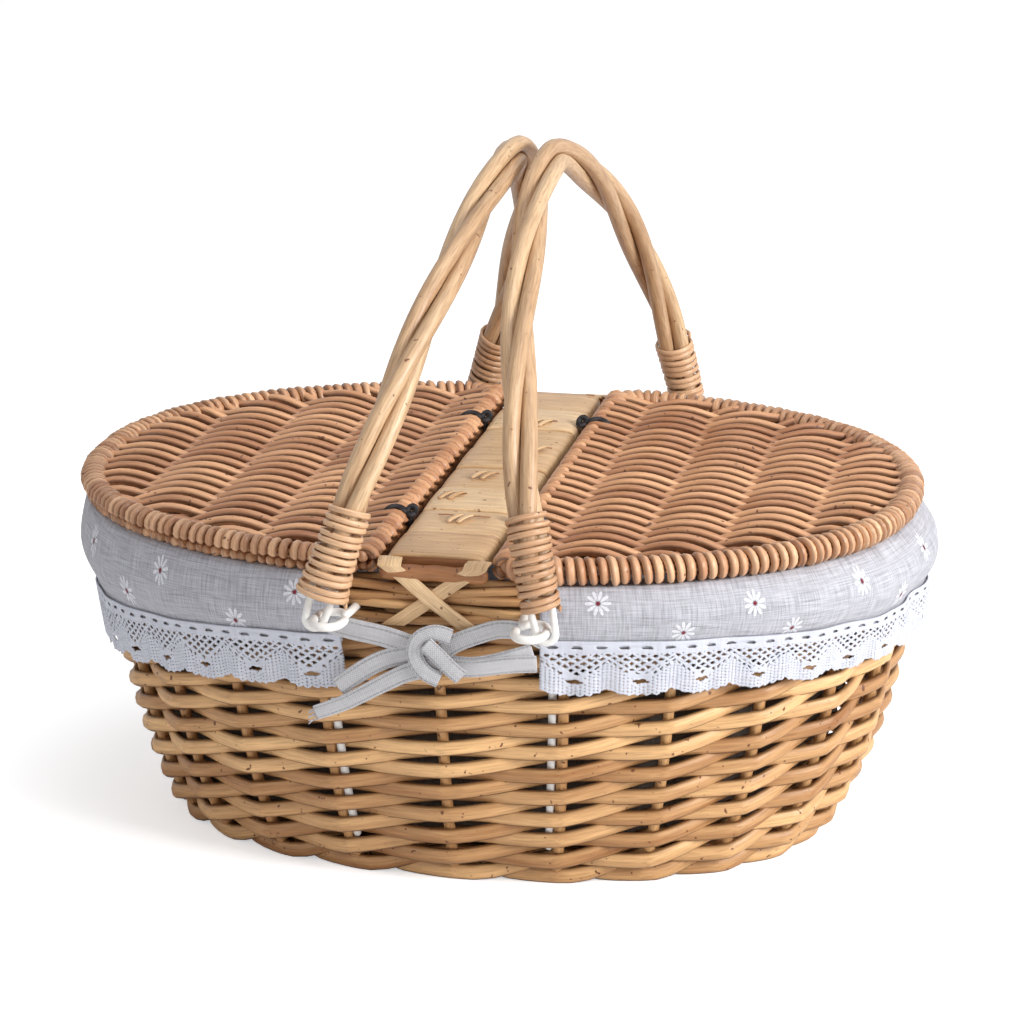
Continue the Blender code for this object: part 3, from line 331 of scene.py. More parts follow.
def cloth_finish(name, thread, gap, count, roughness=0.85, slub=0.35, wrinkle=0.0, stitch=0.0):
    """A plain weave of threads, this many to the metre, with thicker slubs and soft wrinkles."""
    material, tree, shader = new_material(name)
    run, beside = map_run(tree, "cloth")
    turn = 2.0 * math.pi * count
    warp = math_node(tree, "SINE", math_node(tree, "MULTIPLY", run, turn))
    weft = math_node(tree, "SINE", math_node(tree, "MULTIPLY", beside, turn))
    cross = math_node(tree, "MULTIPLY_ADD", math_node(tree, "MULTIPLY", warp, weft), 0.5, 0.5)
    slubs = math_node(tree, "ADD", noise(tree, stretched(tree, run, beside, SLUB_SCALES)),
                      noise(tree, stretched(tree, run, beside, SLUB_SCALES[::-1])))
    share = math_node(tree, "ADD", math_node(tree, "MULTIPLY", remap(tree, slubs, 0.75, 1.25), 2.0 * slub),
                      math_node(tree, "MULTIPLY", cross, 1.0 - 1.4 * slub))
    share = node(tree, "ShaderNodeClamp", {"Value": share}).outputs[0]
    colour = mix_colours(tree, share, (*gap, 1.0), (*thread, 1.0))
    height = math_node(tree, "ADD", cross, slubs)
    if stitch > 0.0:
        colour, height = sew(tree, run, beside, stitch, colour, gap, height)
    bump = relief(tree, height, 0.4, 0.0003)
    if wrinkle > 0.0:
        creases = noise(tree, stretched(tree, run, beside, WRINKLE_SCALES), detail=3.0, distortion=1.2)
        feed(tree, bump, {"Normal": relief(tree, creases, 0.8, wrinkle).outputs[0]})
    feed(tree, shader, {"Base Color": colour, "Roughness": roughness, "Sheen Weight": 0.15,
                        "Normal": bump.outputs[0]})
    return material


LINEN = cloth_finish("grey_linen", (0.54, 0.54, 0.585), (0.25, 0.245, 0.275), 1100.0, slub=0.42,
                     wrinkle=0.0035)
# Painted shade for the bag's outer faces, which are seen only through the gaps of the weave.
BAG_OUTSIDE_SHADE = cloth_finish("linen_painted_shade", (0.17, 0.135, 0.105), (0.07, 0.05, 0.036), 1100.0)
LACE = cloth_finish("white_lace_thread", (0.73, 0.75, 0.82), (0.40, 0.41, 0.48), 900.0, slub=0.25)
TAPE = cloth_finish("grey_tape", (0.63, 0.625, 0.64), (0.34, 0.335, 0.35), 750.0, slub=0.22,
                    stitch=0.0031)
PETAL = cloth_finish("daisy_white", (0.80, 0.80, 0.84), (0.55, 0.55, 0.60), 1100.0, slub=0.42)
HEART = cloth_finish("daisy_red", (0.22, 0.012, 0.03), (0.12, 0.006, 0.015), 1500.0)
print(len(bpy.data.materials), "finishes")

# %% [markdown]
# ## One helper for every woven rod
# A rod is a path primitive whose points lie on the route, with a small oval as its bevel. One
# path holds many rods, so a whole weave is one mesh. Its ends are drawn to a point in three short
# steps, which rounds them and closes the tube.

# %% Points along a route
SIDES = (("left", -1.0), ("right", 1.0))
ENDS = (("front", -1.0), ("back", 1.0))


def start_clean():
    """Selects nothing, so that the next operator acts on the new piece alone."""
    if bpy.context.object and bpy.context.object.mode != "OBJECT":
        bpy.ops.object.mode_set(mode="OBJECT")
    bpy.ops.object.select_all(action="DESELECT")


def pick(obj):
    start_clean()
    obj.select_set(True)
    bpy.context.view_layer.objects.active = obj


def round_turn(steps):
    """The angles of equal steps once round."""
    return [2.0 * math.pi * step / steps for step in range(steps)]


def running_length(route):
    """How far along the route each of its points lies."""
    run = [0.0]
    for before, after in zip(route, route[1:]):
        run.append(run[-1] + (after - before).length)
    return run


def direction(route, index, reach=1):
    """Which way the route runs at a point, from the points this many steps before and after."""
    last = len(route) - 1
    return (route[min(index + reach, last)] - route[max(index - reach, 0)]).normalized()


def smooth(points, steps=6):
    """A soft curve through the points."""
    route = []
    for index in range(len(points) - 1):
        before, here = points[max(index - 1, 0)], points[index]
        after, beyond = points[index + 1], points[min(index + 2, len(points) - 1)]
        for step in range(steps):
            t = step / steps
            route.append(0.5 * ((2.0 * here) + (after - before) * t
                                + (2.0 * before - 5.0 * here + 4.0 * after - beyond) * t * t
                                + (3.0 * here - 3.0 * after + beyond - before) * t * t * t))
    return route + [points[-1]]


# %% Rods
SMALLEST = 1e-7
END_STEPS = ((0.0, 0.0), (0.15, 0.6), (0.6, 0.93))


def rounded(points, radius):
    """The route with two short steps at each end, and each point's share of the radius."""
    first = (points[1] - points[0]).normalized() * radius
    last = (points[-2] - points[-1]).normalized() * radius
    route = [points[0] + step * first for step, _ in END_STEPS]
    route += points[1:-1]
    route += [points[-1] + step * last for step, _ in reversed(END_STEPS)]
    ends = [share for _, share in END_STEPS]
    return route, [*ends, *[1.0] * (len(points) - 2), *reversed(ends)]


def rods(name, routes, half_width, half_height, material, twist="Z_UP", closed=False,
         taper=0.0, fine=2):
    """Many rods as one mesh, each with its run in metres in the UV map and its own tint."""
    start_clean()
    bpy.ops.curve.primitive_bezier_circle_add(radius=1.0)
    section = bpy.context.object
    section.data.resolution_u = fine
    section.scale = (half_width, half_height, 1.0)
    bpy.ops.object.transform_apply(location=False, rotation=False, scale=True)
    bpy.ops.curve.primitive_nurbs_path_add()
    path = bpy.context.object
    path.name = path.data.name = name
    path.data.splines.clear()
    sides = 4 * fine
    lengths, counts = [], []
    for points in routes:
        if closed:
            route, shares = points, [1.0] * len(points)
        else:
            route, shares = rounded(points, max(half_width, half_height))
        spline = path.data.splines.new("POLY")
        spline.points.add(len(route) - 1)
        spline.points.foreach_set("co", [part for point in route for part in (*point, 1.0)])
        last = len(route) - 1
        widths = [share * (1.0 - taper * index / last) for index, share in enumerate(shares)]
        spline.points.foreach_set("radius", widths)
        spline.use_cyclic_u = closed
        lengths.append(running_length(route)[-1])
        counts.append(len(route) * sides)
    path.data.twist_mode = twist
    path.data.bevel_mode = "OBJECT"
    path.data.bevel_object = section
    pick(path)
    bpy.ops.object.convert(target="MESH")
    piece = bpy.context.object
    bpy.data.objects.remove(section, do_unlink=True)
    mark_rods(piece, lengths, counts)
    close_ends(piece)
    dress(piece, material)
    return piece


def mark_rods(piece, lengths, counts):
    """Writes each rod's length into the UV map and a random tint on its points."""
    mesh = piece.data
    owner = np.repeat(np.arange(len(counts)), counts)
    tints = np.array([CHANCE.random() for _ in counts])
    attribute = mesh.attributes.new("tint", "FLOAT", "POINT")
    attribute.data.foreach_set("value", tints[owner])
    corner = np.empty(len(mesh.loops), int)
    mesh.loops.foreach_get("vertex_index", corner)
    layer = mesh.uv_layers[0]
    layer.name = "rod"
    uv = np.empty(2 * len(corner))
    layer.data.foreach_get("uv", uv)
    uv[0::2] *= np.array(lengths)[owner[corner]]
    layer.data.foreach_set("uv", uv)


def close_ends(piece):
    """Merges the points of each drawn-in end and turns all faces outward."""
    pick(piece)
    bpy.ops.object.mode_set(mode="EDIT")
    bpy.ops.mesh.select_all(action="SELECT")
    bpy.ops.mesh.remove_doubles(threshold=SMALLEST)
    bpy.ops.mesh.normals_make_consistent(inside=False)
    bpy.ops.object.mode_set(mode="OBJECT")


def dress(piece, material):
    """Smooth shading and one material for the piece in hand."""
    bpy.ops.object.shade_smooth()
    piece.data.materials.clear()
    piece.data.materials.append(material)


def settle(piece, body, slot, *nodes):
    """The piece rides on a body and stands for the nodes it replaces; its slot is not used."""
    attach(piece, body)
    if nodes:
        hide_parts(*nodes)
    print(piece.name, len(piece.data.polygons), "faces")
    return piece


# %% [markdown]
# ## The oval wall
# The same oval as in the solids: a little squarer than an ellipse, flaring from the base to the
# rim, fast at the foot and slowly above. Everything on the body is placed by an angle round it
# and a height up it.

# %% Wall shape
OVAL_POWER = 2.2
BASE_HALF_LENGTH, BASE_HALF_WIDTH = 0.152, 0.100
RIM_HALF_LENGTH, RIM_HALF_WIDTH = 0.199, 0.152
RIM_TOP = 0.1625
RIM_BOTTOM = 0.143
RIM_MIDDLE = 0.5 * (RIM_TOP + RIM_BOTTOM)
BORDER_FACE = 0.0075
RIGHT_BELLY = 0.0088
STEP = 0.001


def signed_power(value, power):
    """The power of the value's size, with the value's sign."""
    return math.copysign(abs(value) ** power, value)


def oval(length, width, angle, height):
    """A point of an oval of this half length and half width."""
    return Vector((length * signed_power(math.cos(angle), 2.0 / OVAL_POWER),
                   width * signed_power(math.sin(angle), 2.0 / OVAL_POWER), height))


def oval_reach(length, width, distance):
    """How far the oval reaches across at this distance along its length."""
    share = min(abs(distance) / length, 1.0)
    return width * (1.0 - share**OVAL_POWER) ** (1.0 / OVAL_POWER)


def widening(height):
    """How much of the wall's flare is reached at this height."""
    return math.sqrt(max(height, 0.0) / RIM_TOP)


def half_length(height):
    return BASE_HALF_LENGTH + (RIM_HALF_LENGTH - BASE_HALF_LENGTH) * widening(height)


def half_width(height):
    return BASE_HALF_WIDTH + (RIM_HALF_WIDTH - BASE_HALF_WIDTH) * widening(height)


def inside_wall(angle, height, inset):
    return oval(half_length(height) - inset, half_width(height) - inset, angle, height)


def rim_point(angle, away, height):
    """A point at this height, this far outside the middle of the rim."""
    return oval(half_length(RIM_MIDDLE) + away, half_width(RIM_MIDDLE) + away, angle, height)


def fullness(angle, height):
    """How far the right end of the wall bellies out beyond the left one, which is flatter."""
    belly = math.sin(math.pi * min(max(height / RIM_TOP, 0.0), 1.0))
    return RIGHT_BELLY * belly * max(math.cos(angle), 0.0) ** 2


def wall_point(angle, height):
    return oval(half_length(height) + fullness(angle, height), half_width(height), angle, height)


def wall_normal(angle, height):
    around = wall_point(angle + STEP, height) - wall_point(angle - STEP, height)
    upward = wall_point(angle, height + 0.5 * STEP) - wall_point(angle, height - 0.5 * STEP)
    return around.cross(upward).normalized()


def angle_at(x, height, end):
    """The wall's angle at this x, on the front for end -1 and on the back for end 1."""
    angle = math.acos(min(abs(x) / half_length(height), 1.0) ** (0.5 * OVAL_POWER))
    return end * (math.pi - angle if x < 0.0 else angle)


def stake_angle(index):
    return 2.0 * math.pi * index / STAKE_COUNT - 0.5 * math.pi


# %% [markdown]
# ## Stakes and weave
# On the real basket the wall is a French rand: one weaver starts at every stake, and each passes
# in front of one stake and behind the next while it climbs one row, so all strokes slant the same
# way. Here a loop starts one rod at each stake. The rod is almost straight between the stakes and
# bends sharply round them, which gives the crisp ridges down each stake.

# %% Stakes
STAKE_COUNT = 23
STAKE_RADIUS = 0.0029
STAKE_FOOT, STAKE_TOP = 0.0035, 0.150
STAKE_STEPS, STAKE_SPREAD = 14, 1.6


def stake_route(index):
    shares = [(step / STAKE_STEPS) ** STAKE_SPREAD for step in range(STAKE_STEPS + 1)]
    heights = [STAKE_FOOT + (STAKE_TOP - STAKE_FOOT) * share for share in shares]
    return [wall_point(stake_angle(index), height) for height in heights]


stakes = rods("stakes", [stake_route(index) for index in range(STAKE_COUNT)],
              STAKE_RADIUS, STAKE_RADIUS, STAKE, twist="MINIMUM", taper=0.1)
settle(stakes, "basket", "willow", "stake_frame")

# %% Weave
WEAVE_ROWS = 24
WEAVE_PITCH = 0.0061
WEAVE_START = 0.0045
WEAVE_TUCK = 0.0004
WEAVER_HALF_THICKNESS = 0.0020
WEAVER_HALF_HEIGHT = 0.0041
WEAVER_SHARES = (0.0, 0.05, 0.16, 0.34, 0.5, 0.66, 0.84, 0.95)
WEAVE_SWING = STAKE_RADIUS + WEAVER_HALF_THICKNESS
WEAVE_ROUNDNESS = 0.4
WEAVE_WANDER = 0.0005


def swing(share):
    """From 1 outside a stake to -1 inside the next, nearly straight between them."""
    rounded_part = WEAVE_ROUNDNESS * math.cos(math.pi * share)
    return rounded_part + (1.0 - WEAVE_ROUNDNESS) * (1.0 - 2.0 * share)


def weave_height(row):
    """One pitch more for each stake passed, and level where the rod is tucked in at the foot."""
    return WEAVE_START + (WEAVE_PITCH * row if row > 0.0 else WEAVE_TUCK * row)


def weaver_route(first):
    """A rod that starts inside one stake, shows outside the next, and so on up the wall."""
    points = []
    wander = [CHANCE.uniform(-WEAVE_WANDER, WEAVE_WANDER) for _ in range(WEAVE_ROWS + 1)]
    wander[0] = wander[1] = 0.0
    for number in range(WEAVE_ROWS):
        row = number - 1
        side = 1.0 if row % 2 == 0 else -1.0
        for share in WEAVER_SHARES:
            angle = stake_angle(first + row + share)
            drift = wander[number] + (wander[number + 1] - wander[number]) * share
            height = weave_height(row + share) + drift
            out = WEAVE_SWING * side * swing(share)
            point = wall_point(angle, height) + wall_normal(angle, height) * out
            point.z = max(point.z, WEAVER_HALF_HEIGHT)
            points.append(point)
    return points


weave = rods("wall_weave", [weaver_route(first) for first in range(STAKE_COUNT)],
             WEAVER_HALF_THICKNESS, WEAVER_HALF_HEIGHT, WILLOW, taper=0.14)
settle(weave, "basket", "willow", *[f"wall_weaver_{number}" for number in range(1, 7)])

# %% [markdown]
# ## Base
# The base is woven too: rods go round and round over a few flat sticks. From above only a
# cloth floor covers it, but the basket may be tipped, so its underside is woven as well.

# %% Base weave
BASE_RINGS = 17
BASE_RING_PITCH = 0.0056
BASE_STICKS = 14
BASE_RING_STEPS = 6 * BASE_STICKS
BASE_ROD_RADIUS = 0.0026
BASE_MIDDLE = 0.0049
BASE_SWING = 0.0016
BASE_EDGE = 0.010
FOOT_RINGS = ((0.0078, 0.0034), (0.0080, 0.0088), (0.0082, 0.0142))
FOOT_RING_STEPS = 120
STICK_EDGE = 0.004
STICK_HALF_WIDTH, STICK_HALF_HEIGHT = 0.0030, 0.0022
STICK_START = (0.055, 0.004)


def base_ring(number):
    """One turn of the base weave, over and under the sticks, drawn in by this many rows."""
    points = []
    inset = BASE_EDGE + BASE_RING_PITCH * number
    swing_up = BASE_SWING if number % 2 == 0 else -BASE_SWING
    for angle in round_turn(BASE_RING_STEPS):
        height = BASE_MIDDLE + swing_up * math.cos(0.5 * BASE_STICKS * angle)
        points.append(oval(BASE_HALF_LENGTH - inset, BASE_HALF_WIDTH - inset, angle, height))
    return points


def foot_ring(inset, height):
    """A plain rod round the foot, behind the lowest rows, that closes the gap under them."""
    return [inside_wall(angle, height, inset) for angle in round_turn(FOOT_RING_STEPS)]


def stick_route(number):
    """A stick of the base, from its middle to its edge, between two swings of the weave."""
    angle = 2.0 * math.pi * (number + 0.5) / BASE_STICKS
    edge = oval(BASE_HALF_LENGTH - STICK_EDGE, BASE_HALF_WIDTH - STICK_EDGE, angle, BASE_MIDDLE)
    inner = oval(*STICK_START, angle, BASE_MIDDLE)
    return [inner, inner.lerp(edge, 0.5), edge]


base_rings = [base_ring(number) for number in range(BASE_RINGS)]
base_rings += [foot_ring(inset, height) for inset, height in FOOT_RINGS]
base_weave = rods("base_weave", base_rings, BASE_ROD_RADIUS, BASE_ROD_RADIUS, WILLOW, closed=True)
settle(base_weave, "basket", "willow")
base_sticks = rods("base_sticks", [stick_route(number) for number in range(BASE_STICKS)],
                   STICK_HALF_WIDTH, STICK_HALF_HEIGHT, WILLOW)
settle(base_sticks, "basket", "willow", "base")

# %% [markdown]
# ## Rim border
# At the top the stakes are bent over and laid round in a border of several rods. The liner hides
# it all round, apart from a stretch at the front and one behind, between the two skirts.

# %% Rim rods
RIM_ROD_RADIUS = 0.00255
RIM_ROWS = 4
RIM_ROW_PITCH = 0.00475
RIM_RING_POINTS = 276
RIM_BOB, RIM_WAVE = 0.0010, 0.0012
RIM_OUTER, RIM_INNER = 0.0043, -0.0045


def rim_ring(row, out, phase):
    """A rod round the rim that wanders in and out a little, as a plaited border does."""
    points = []
    for angle in round_turn(RIM_RING_POINTS):
        away = out + RIM_WAVE * math.sin(STAKE_COUNT * angle + phase)
        bob = math.cos(0.5 * STAKE_COUNT * angle + 2.0 * phase) + 0.5 * math.cos(9.0 * angle + phase)
        height = RIM_BOTTOM + RIM_ROD_RADIUS + row * RIM_ROW_PITCH + RIM_BOB * bob
        points.append(rim_point(angle, away, height))
    return points


rim_routes = [rim_ring(row, RIM_OUTER, 1.9 * row) for row in range(RIM_ROWS)]
rim_routes += [rim_ring(row, RIM_INNER, 1.3 * row + 0.7) for row in range(RIM_ROWS)]
rim_routes.append(rim_ring(RIM_ROWS - 1, 0.0, 0.4))
rim = rods("rim_rods", rim_routes, RIM_ROD_RADIUS, RIM_ROD_RADIUS, WILLOW, closed=True)
settle(rim, "basket", "willow", "rim_border")

# %% [markdown]
# ## Strips: chips, lashings and tapes
# A flat strip starts as a grid primitive. Its rows are set along the route, each across a given
# direction, and Solidify and Bevel give it thickness and soft edges.


# %% Strip helper
WIDTH_AS_TURN = 60.0
STRIP_EDGE = 0.3
BEVEL_ANGLE = math.radians(50.0)


def new_grid(name, columns, rows):
    """A grid primitive of unit size, to be laid along a route or over a surface."""
    start_clean()
    bpy.ops.mesh.primitive_grid_add(x_subdivisions=columns, y_subdivisions=rows, size=1.0)
    piece = bpy.context.object
    piece.name = piece.data.name = name
    return piece


def mark_cloth(piece, place):
    """Writes a UV map in metres, from place(index of the point)."""
    mesh = piece.data
    layer = mesh.uv_layers[0] if mesh.uv_layers else mesh.uv_layers.new()
    layer.name = "cloth"
    corner = np.empty(len(mesh.loops), int)
    mesh.loops.foreach_get("vertex_index", corner)
    table = np.array([place(index) for index in range(len(mesh.vertices))])
    layer.data.foreach_set("uv", table[corner].ravel())
    return table[corner]


def mark_strip(piece, spots):
    """The cloth map, the same map under the name that rod finishes read, and one tint."""
    uv = mark_cloth(piece, lambda index: spots[index])
    layer = piece.data.uv_layers.new(name="rod")
    layer.data.foreach_set("uv", (uv * (1.0, WIDTH_AS_TURN)).ravel())
    tint = piece.data.attributes.new("tint", "FLOAT", "POINT")
    tint.data.foreach_set("value", [CHANCE.random()] * len(piece.data.vertices))


def thicken(piece, thickness):
    """Gives a sheet its thickness, half to each side."""
    pick(piece)
    shell = piece.modifiers.new("shell", "SOLIDIFY")
    shell.thickness = thickness
    shell.offset = 0.0
    bpy.ops.object.modifier_apply(modifier="shell")


def soften(piece, width):
    """Bevels the sharp edges."""
    bevel = piece.modifiers.new("soften", "BEVEL")
    bevel.width = width
    bevel.segments = 2
    bevel.limit_method = "ANGLE"
    bevel.angle_limit = BEVEL_ANGLE
    bpy.ops.object.modifier_apply(modifier="soften")


def strip(name, route, spans, width, thickness, material, columns=4, crown=0.0):
    """A flat strip along the route, laid across one direction or one for each point."""
    rows = len(route) - 1
    piece = new_grid(name, columns, rows)
    run = running_length(route)
    spots = []
    for vert in piece.data.vertices:
        row = round((vert.co.y + 0.5) * rows)
        side = vert.co.x
        span = spans[row] if isinstance(spans, list) else spans
        up = span.normalized().cross(direction(route, row)).normalized()
        vert.co = route[row] + span * (side * width) + up * (crown * (1.0 - 4.0 * side * side))
        spots.append((run[row], side * width))
    mark_strip(piece, spots)
    thicken(piece, thickness)
    soften(piece, STRIP_EDGE * thickness)
    close_ends(piece)
    dress(piece, material)
    return piece


def join_all(name, pieces):
    """Several meshes as one piece."""
    start_clean()
    for piece in pieces:
        piece.select_set(True)
    bpy.context.view_layer.objects.active = pieces[0]
    bpy.ops.object.join()
    joined = bpy.context.object
    joined.name = joined.data.name = name
    return joined


# %% [markdown]
# ## The bridge
# A fixed bridge runs across the basket between the lids: two rails with flat wood chips laid over
# them, a rolled brown rod at each end, and a crossed lashing that ties each end to the border.

# %% Rails and end rods
BRIDGE_WIDTH = 0.047
BRIDGE_LENGTH = 0.301
RAIL_RADIUS = 0.0040
END_ROD_HALF_WIDTH, END_ROD_HALF_HEIGHT = 0.0042, 0.003864
END_ROD_SPARE = 0.0022


def rail_route(name):
    """Straight through the middle of a rail's box."""
    low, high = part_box(name)
    x, z = 0.5 * (low.x + high.x), 0.5 * (low.z + high.z)
    return [Vector((x, low.y + (high.y - low.y) * step / 8, z)) for step in range(9)]


def end_rod_route(low, high):
    """Through the middle of the end rod's box and a little beyond it, not quite straight."""
    y, z = 0.5 * (low.y + high.y), 0.5 * (low.z + high.z)
    first, length = low.x - END_ROD_SPARE, high.x - low.x + 2.0 * END_ROD_SPARE
    return [Vector((first + length * step / 10, y + 0.0004 * math.sin(1.7 * step),
                    z + 0.0003 * math.cos(2.3 * step))) for step in range(11)]


rails = rods("bridge_rails", [rail_route("bridge_rail_left"), rail_route("bridge_rail_right")],
             RAIL_RADIUS, RAIL_RADIUS, PEELED)
settle(rails, "basket", "peeled_willow", "bridge_rail_left", "bridge_rail_right")
for end_name, _ in ENDS:
    route = end_rod_route(*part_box(f"bridge_end_rod_{end_name}"))
    end_rod = rods(f"rolled_rod_{end_name}", [route], END_ROD_HALF_WIDTH, END_ROD_HALF_HEIGHT,
                   BROWN_ROD, fine=3)
    settle(end_rod, "basket", "cane", f"bridge_end_rod_{end_name}")

# %% Chips of the panel
CHIP_THICKNESS = 0.0016
CHIP_COUNT = 8
CHIP_PITCH = BRIDGE_LENGTH / CHIP_COUNT
CHIP_GAP, CHIP_CROWN, CHIP_WAVE = 0.0004, 0.0004, 0.0003
CHIP_STEP, CHIP_UNEVEN = 0.0006, 0.0001
CHIP_BEND = ((0.0, 0.0062), (0.0, 0.0030), (0.0008, 0.0010), (0.0030, 0.0002))
CHIP_FLAT = (-0.014, -0.007, 0.0, 0.007, 0.014)
CHIP_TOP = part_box("bridge_panel")[1].z


def chip_route(y, lift):
    """Across the bridge and bent down over both rails."""
    half = 0.5 * BRIDGE_WIDTH - 0.5 * CHIP_THICKNESS
    top = CHIP_TOP - CHIP_THICKNESS + lift
    bend = [Vector((inward - half, y, top - drop)) for inward, drop in CHIP_BEND]
    flat = [Vector((x, y, top + CHIP_WAVE * math.cos(60.0 * x))) for x in CHIP_FLAT]
    return [*bend, *flat, *[Vector((-point.x, y, point.z)) for point in reversed(bend)]]


chips = []
for number in range(CHIP_COUNT):
    middle = -0.5 * BRIDGE_LENGTH + (number + 0.5) * CHIP_PITCH
    lift = -CHIP_STEP * (number % 2) + CHANCE.uniform(-CHIP_UNEVEN, CHIP_UNEVEN)
    chips.append(strip(f"chip_{number}", chip_route(middle, lift), Vector((0.0, -1.0, 0.0)),
                       CHIP_PITCH - CHIP_GAP, CHIP_THICKNESS, CHIP, columns=6, crown=CHIP_CROWN))
panel = join_all("bridge_chips", chips)
settle(panel, "basket", "straw", "bridge_panel")

# %% Lip under each end of the panel, dark brown as painted shade
LIP_INSET, LIP_DROP = 0.0010, 0.0045
LIP_REACH, LIP_WIDTH, LIP_THICKNESS = 0.0205, 0.0068, 0.0012
# The lip takes the dark brown rod finish as painted shade under the panel's overhanging end.
for end_name, end in ENDS:
    y, z = end * (0.5 * BRIDGE_LENGTH - LIP_INSET), CHIP_TOP - LIP_DROP
    lip_route = [Vector((LIP_REACH * (step / 5 - 1.0), y, z)) for step in range(11)]
    lip = strip(f"shaded_bridge_lip_{end_name}", lip_route, Vector((0.0, 0.0, 1.0)), LIP_WIDTH,
                LIP_THICKNESS, BROWN_ROD)
    settle(lip, "basket", "straw")

# %% Slivers and slits in the chips
SLIT_PLACES = ((-0.0124, 0.0132, -0.0880), (-0.0099, 0.0022, -0.0130), (-0.0020, 0.0120, 0.0889),
               (-0.0180, -0.0060, -0.0505), (0.0040, 0.0190, 0.0375))
SLIT_HALF_WIDTH, SLIT_HALF_HEIGHT = 0.0005, 0.0003
SLIVER_HALF_WIDTH, SLIVER_HALF_HEIGHT = 0.0015, 0.0006
SLIVER_SHIFTS = (-0.0030, 0.0018)
SLIVER_BULGE = Vector((0.0, 0.0, 0.0007))


def slit_route(first_x, last_x, y):
    """A dark rod laid on the chips as painted shade, where one chip passes under another."""
    return [Vector((first_x + (last_x - first_x) * step / 6, y + 0.0004 * math.sin(2.0 * step),
                    CHIP_TOP + 0.0003)) for step in range(7)]


def sliver_route(x, y):
    """A sliver that has sprung up beside a slit."""
    start = Vector((x - 0.0030, y - 0.0110, CHIP_TOP + 0.0002))
    stop = Vector((x + 0.0022, y + 0.0002, CHIP_TOP + 0.0008))
    return [start, start.lerp(stop, 0.3) + SLIVER_BULGE, start.lerp(stop, 0.7) + SLIVER_BULGE, stop]


# The slits are painted shade: dark brown rods where the gaps between chips lie in shadow.
slits = rods("bridge_slit_shades", [slit_route(*place) for place in SLIT_PLACES],
             SLIT_HALF_WIDTH, SLIT_HALF_HEIGHT, BROWN_ROD)
settle(slits, "basket", "straw")
sliver_routes = [sliver_route(0.5 * (first_x + last_x) + shift, y)
                 for first_x, last_x, y in SLIT_PLACES for shift in SLIVER_SHIFTS]
slivers = rods("bridge_slivers", sliver_routes, SLIVER_HALF_WIDTH, SLIVER_HALF_HEIGHT, CHIP)
settle(slivers, "basket", "straw")

# %% Crossed lashings
LASHING_WIDTH = 0.0112
LASHING_THICKNESS = 0.0013
LASHING_CROWN = 0.0003
LASHING_TOP_X, LASHING_FOOT_X = 0.0200, 0.0185
LASHING_STEPS = 7
LASHING_DROP = 0.0024
LASHING_LEAN, LASHING_OVER = 0.0040, 0.0014


def lashing_route(end, side):
    """From over the brown rod straight across the border, the second arm over the first."""
    low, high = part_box("lashing_front")
    face = -low.y - 0.5 * LASHING_THICKNESS - LASHING_LEAN
    top_x, foot_x = -side * LASHING_TOP_X, side * LASHING_FOOT_X
    out = 0.0028 + (LASHING_OVER if side > 0.0 else 0.0)
    rod_y = 0.5 * BRIDGE_LENGTH + END_ROD_HALF_WIDTH
    top, bend = high.z - 0.5 * LASHING_THICKNESS, high.z - LASHING_DROP
    points = [Vector((top_x * 1.05, rod_y - 0.0040, top)),
              Vector((top_x * 1.02, rod_y + 0.0010, top - 0.0002)),
              Vector((top_x, rod_y + 0.0042, bend))]
    for step in range(1, LASHING_STEPS + 1):
        share = step / LASHING_STEPS
        points.append(Vector((top_x + (foot_x - top_x) * share, face + out * min(1.0, 2.0 * share),
                              bend - (bend - low.z) * share)))
    return [Vector((point.x, end * point.y, point.z)) for point in points]


for end_name, end in ENDS:
    arms = [strip(f"lash_{side}", lashing_route(end, side), Vector((-1.0, 0.0, 0.0)),
                  LASHING_WIDTH, LASHING_THICKNESS, CHIP, crown=LASHING_CROWN) for side in (-1.0, 1.0)]
    lashing = join_all(f"crossed_lashing_{end_name}", arms)
    settle(lashing, "basket", "straw", f"lashing_{end_name}")

# %% [markdown]
# ## Eyes
# White coated wire comes up through the weave beside a stake, leaves the border and bends round
# into a flat eye that lies just outside the rim. The handle's link hangs in it.

# %% Eyes of coated wire
HANDLE_HALF_SPAN = 0.177
HANDLE_PIVOT_Z = 0.149
LEFT_PIVOT_X, RIGHT_PIVOT_X = 0.051, 0.057
RIGHT_BACK_SHIFT = 0.013
EYE_WIDTH = 0.0140
EYE_ROD_RADIUS = 0.0020
EYE_IN, EYE_OUT = 0.0120, 0.0115
EYE_SQUARENESS = 0.85
EYE_FIRST, EYE_TURN, EYE_STEPS = math.radians(-52.0), math.radians(13.2), 26
STEM_GAP = 0.0053
STEM_FOOT = 0.020
STEM_STEPS, STEM_SPREAD = 10, 1.4
EYES = {
    "eye_front_left": (-1.0, -1.0, LEFT_PIVOT_X),
    "eye_front_right": (1.0, -1.0, RIGHT_PIVOT_X),
    "eye_back_left": (-1.0, 1.0, LEFT_PIVOT_X),
    "eye_back_right": (1.0, 1.0, RIGHT_PIVOT_X + RIGHT_BACK_SHIFT),
}


def stem_angle(x, end):
    """Beside the stake whose flank lies nearest to this x."""
    flanks = []
    for index in range(STAKE_COUNT):
        angle = stake_angle(index)
        speed = (wall_point(angle + STEP, RIM_MIDDLE) - wall_point(angle, RIM_MIDDLE)).length
        flanks += [angle - STEM_GAP * STEP / speed, angle + STEM_GAP * STEP / speed]
    on_this_end = [angle for angle in flanks if wall_point(angle, RIM_MIDDLE).y * end > 0.0]
    return min(on_this_end, key=lambda angle: abs(wall_point(angle, RIM_MIDDLE).x - x))


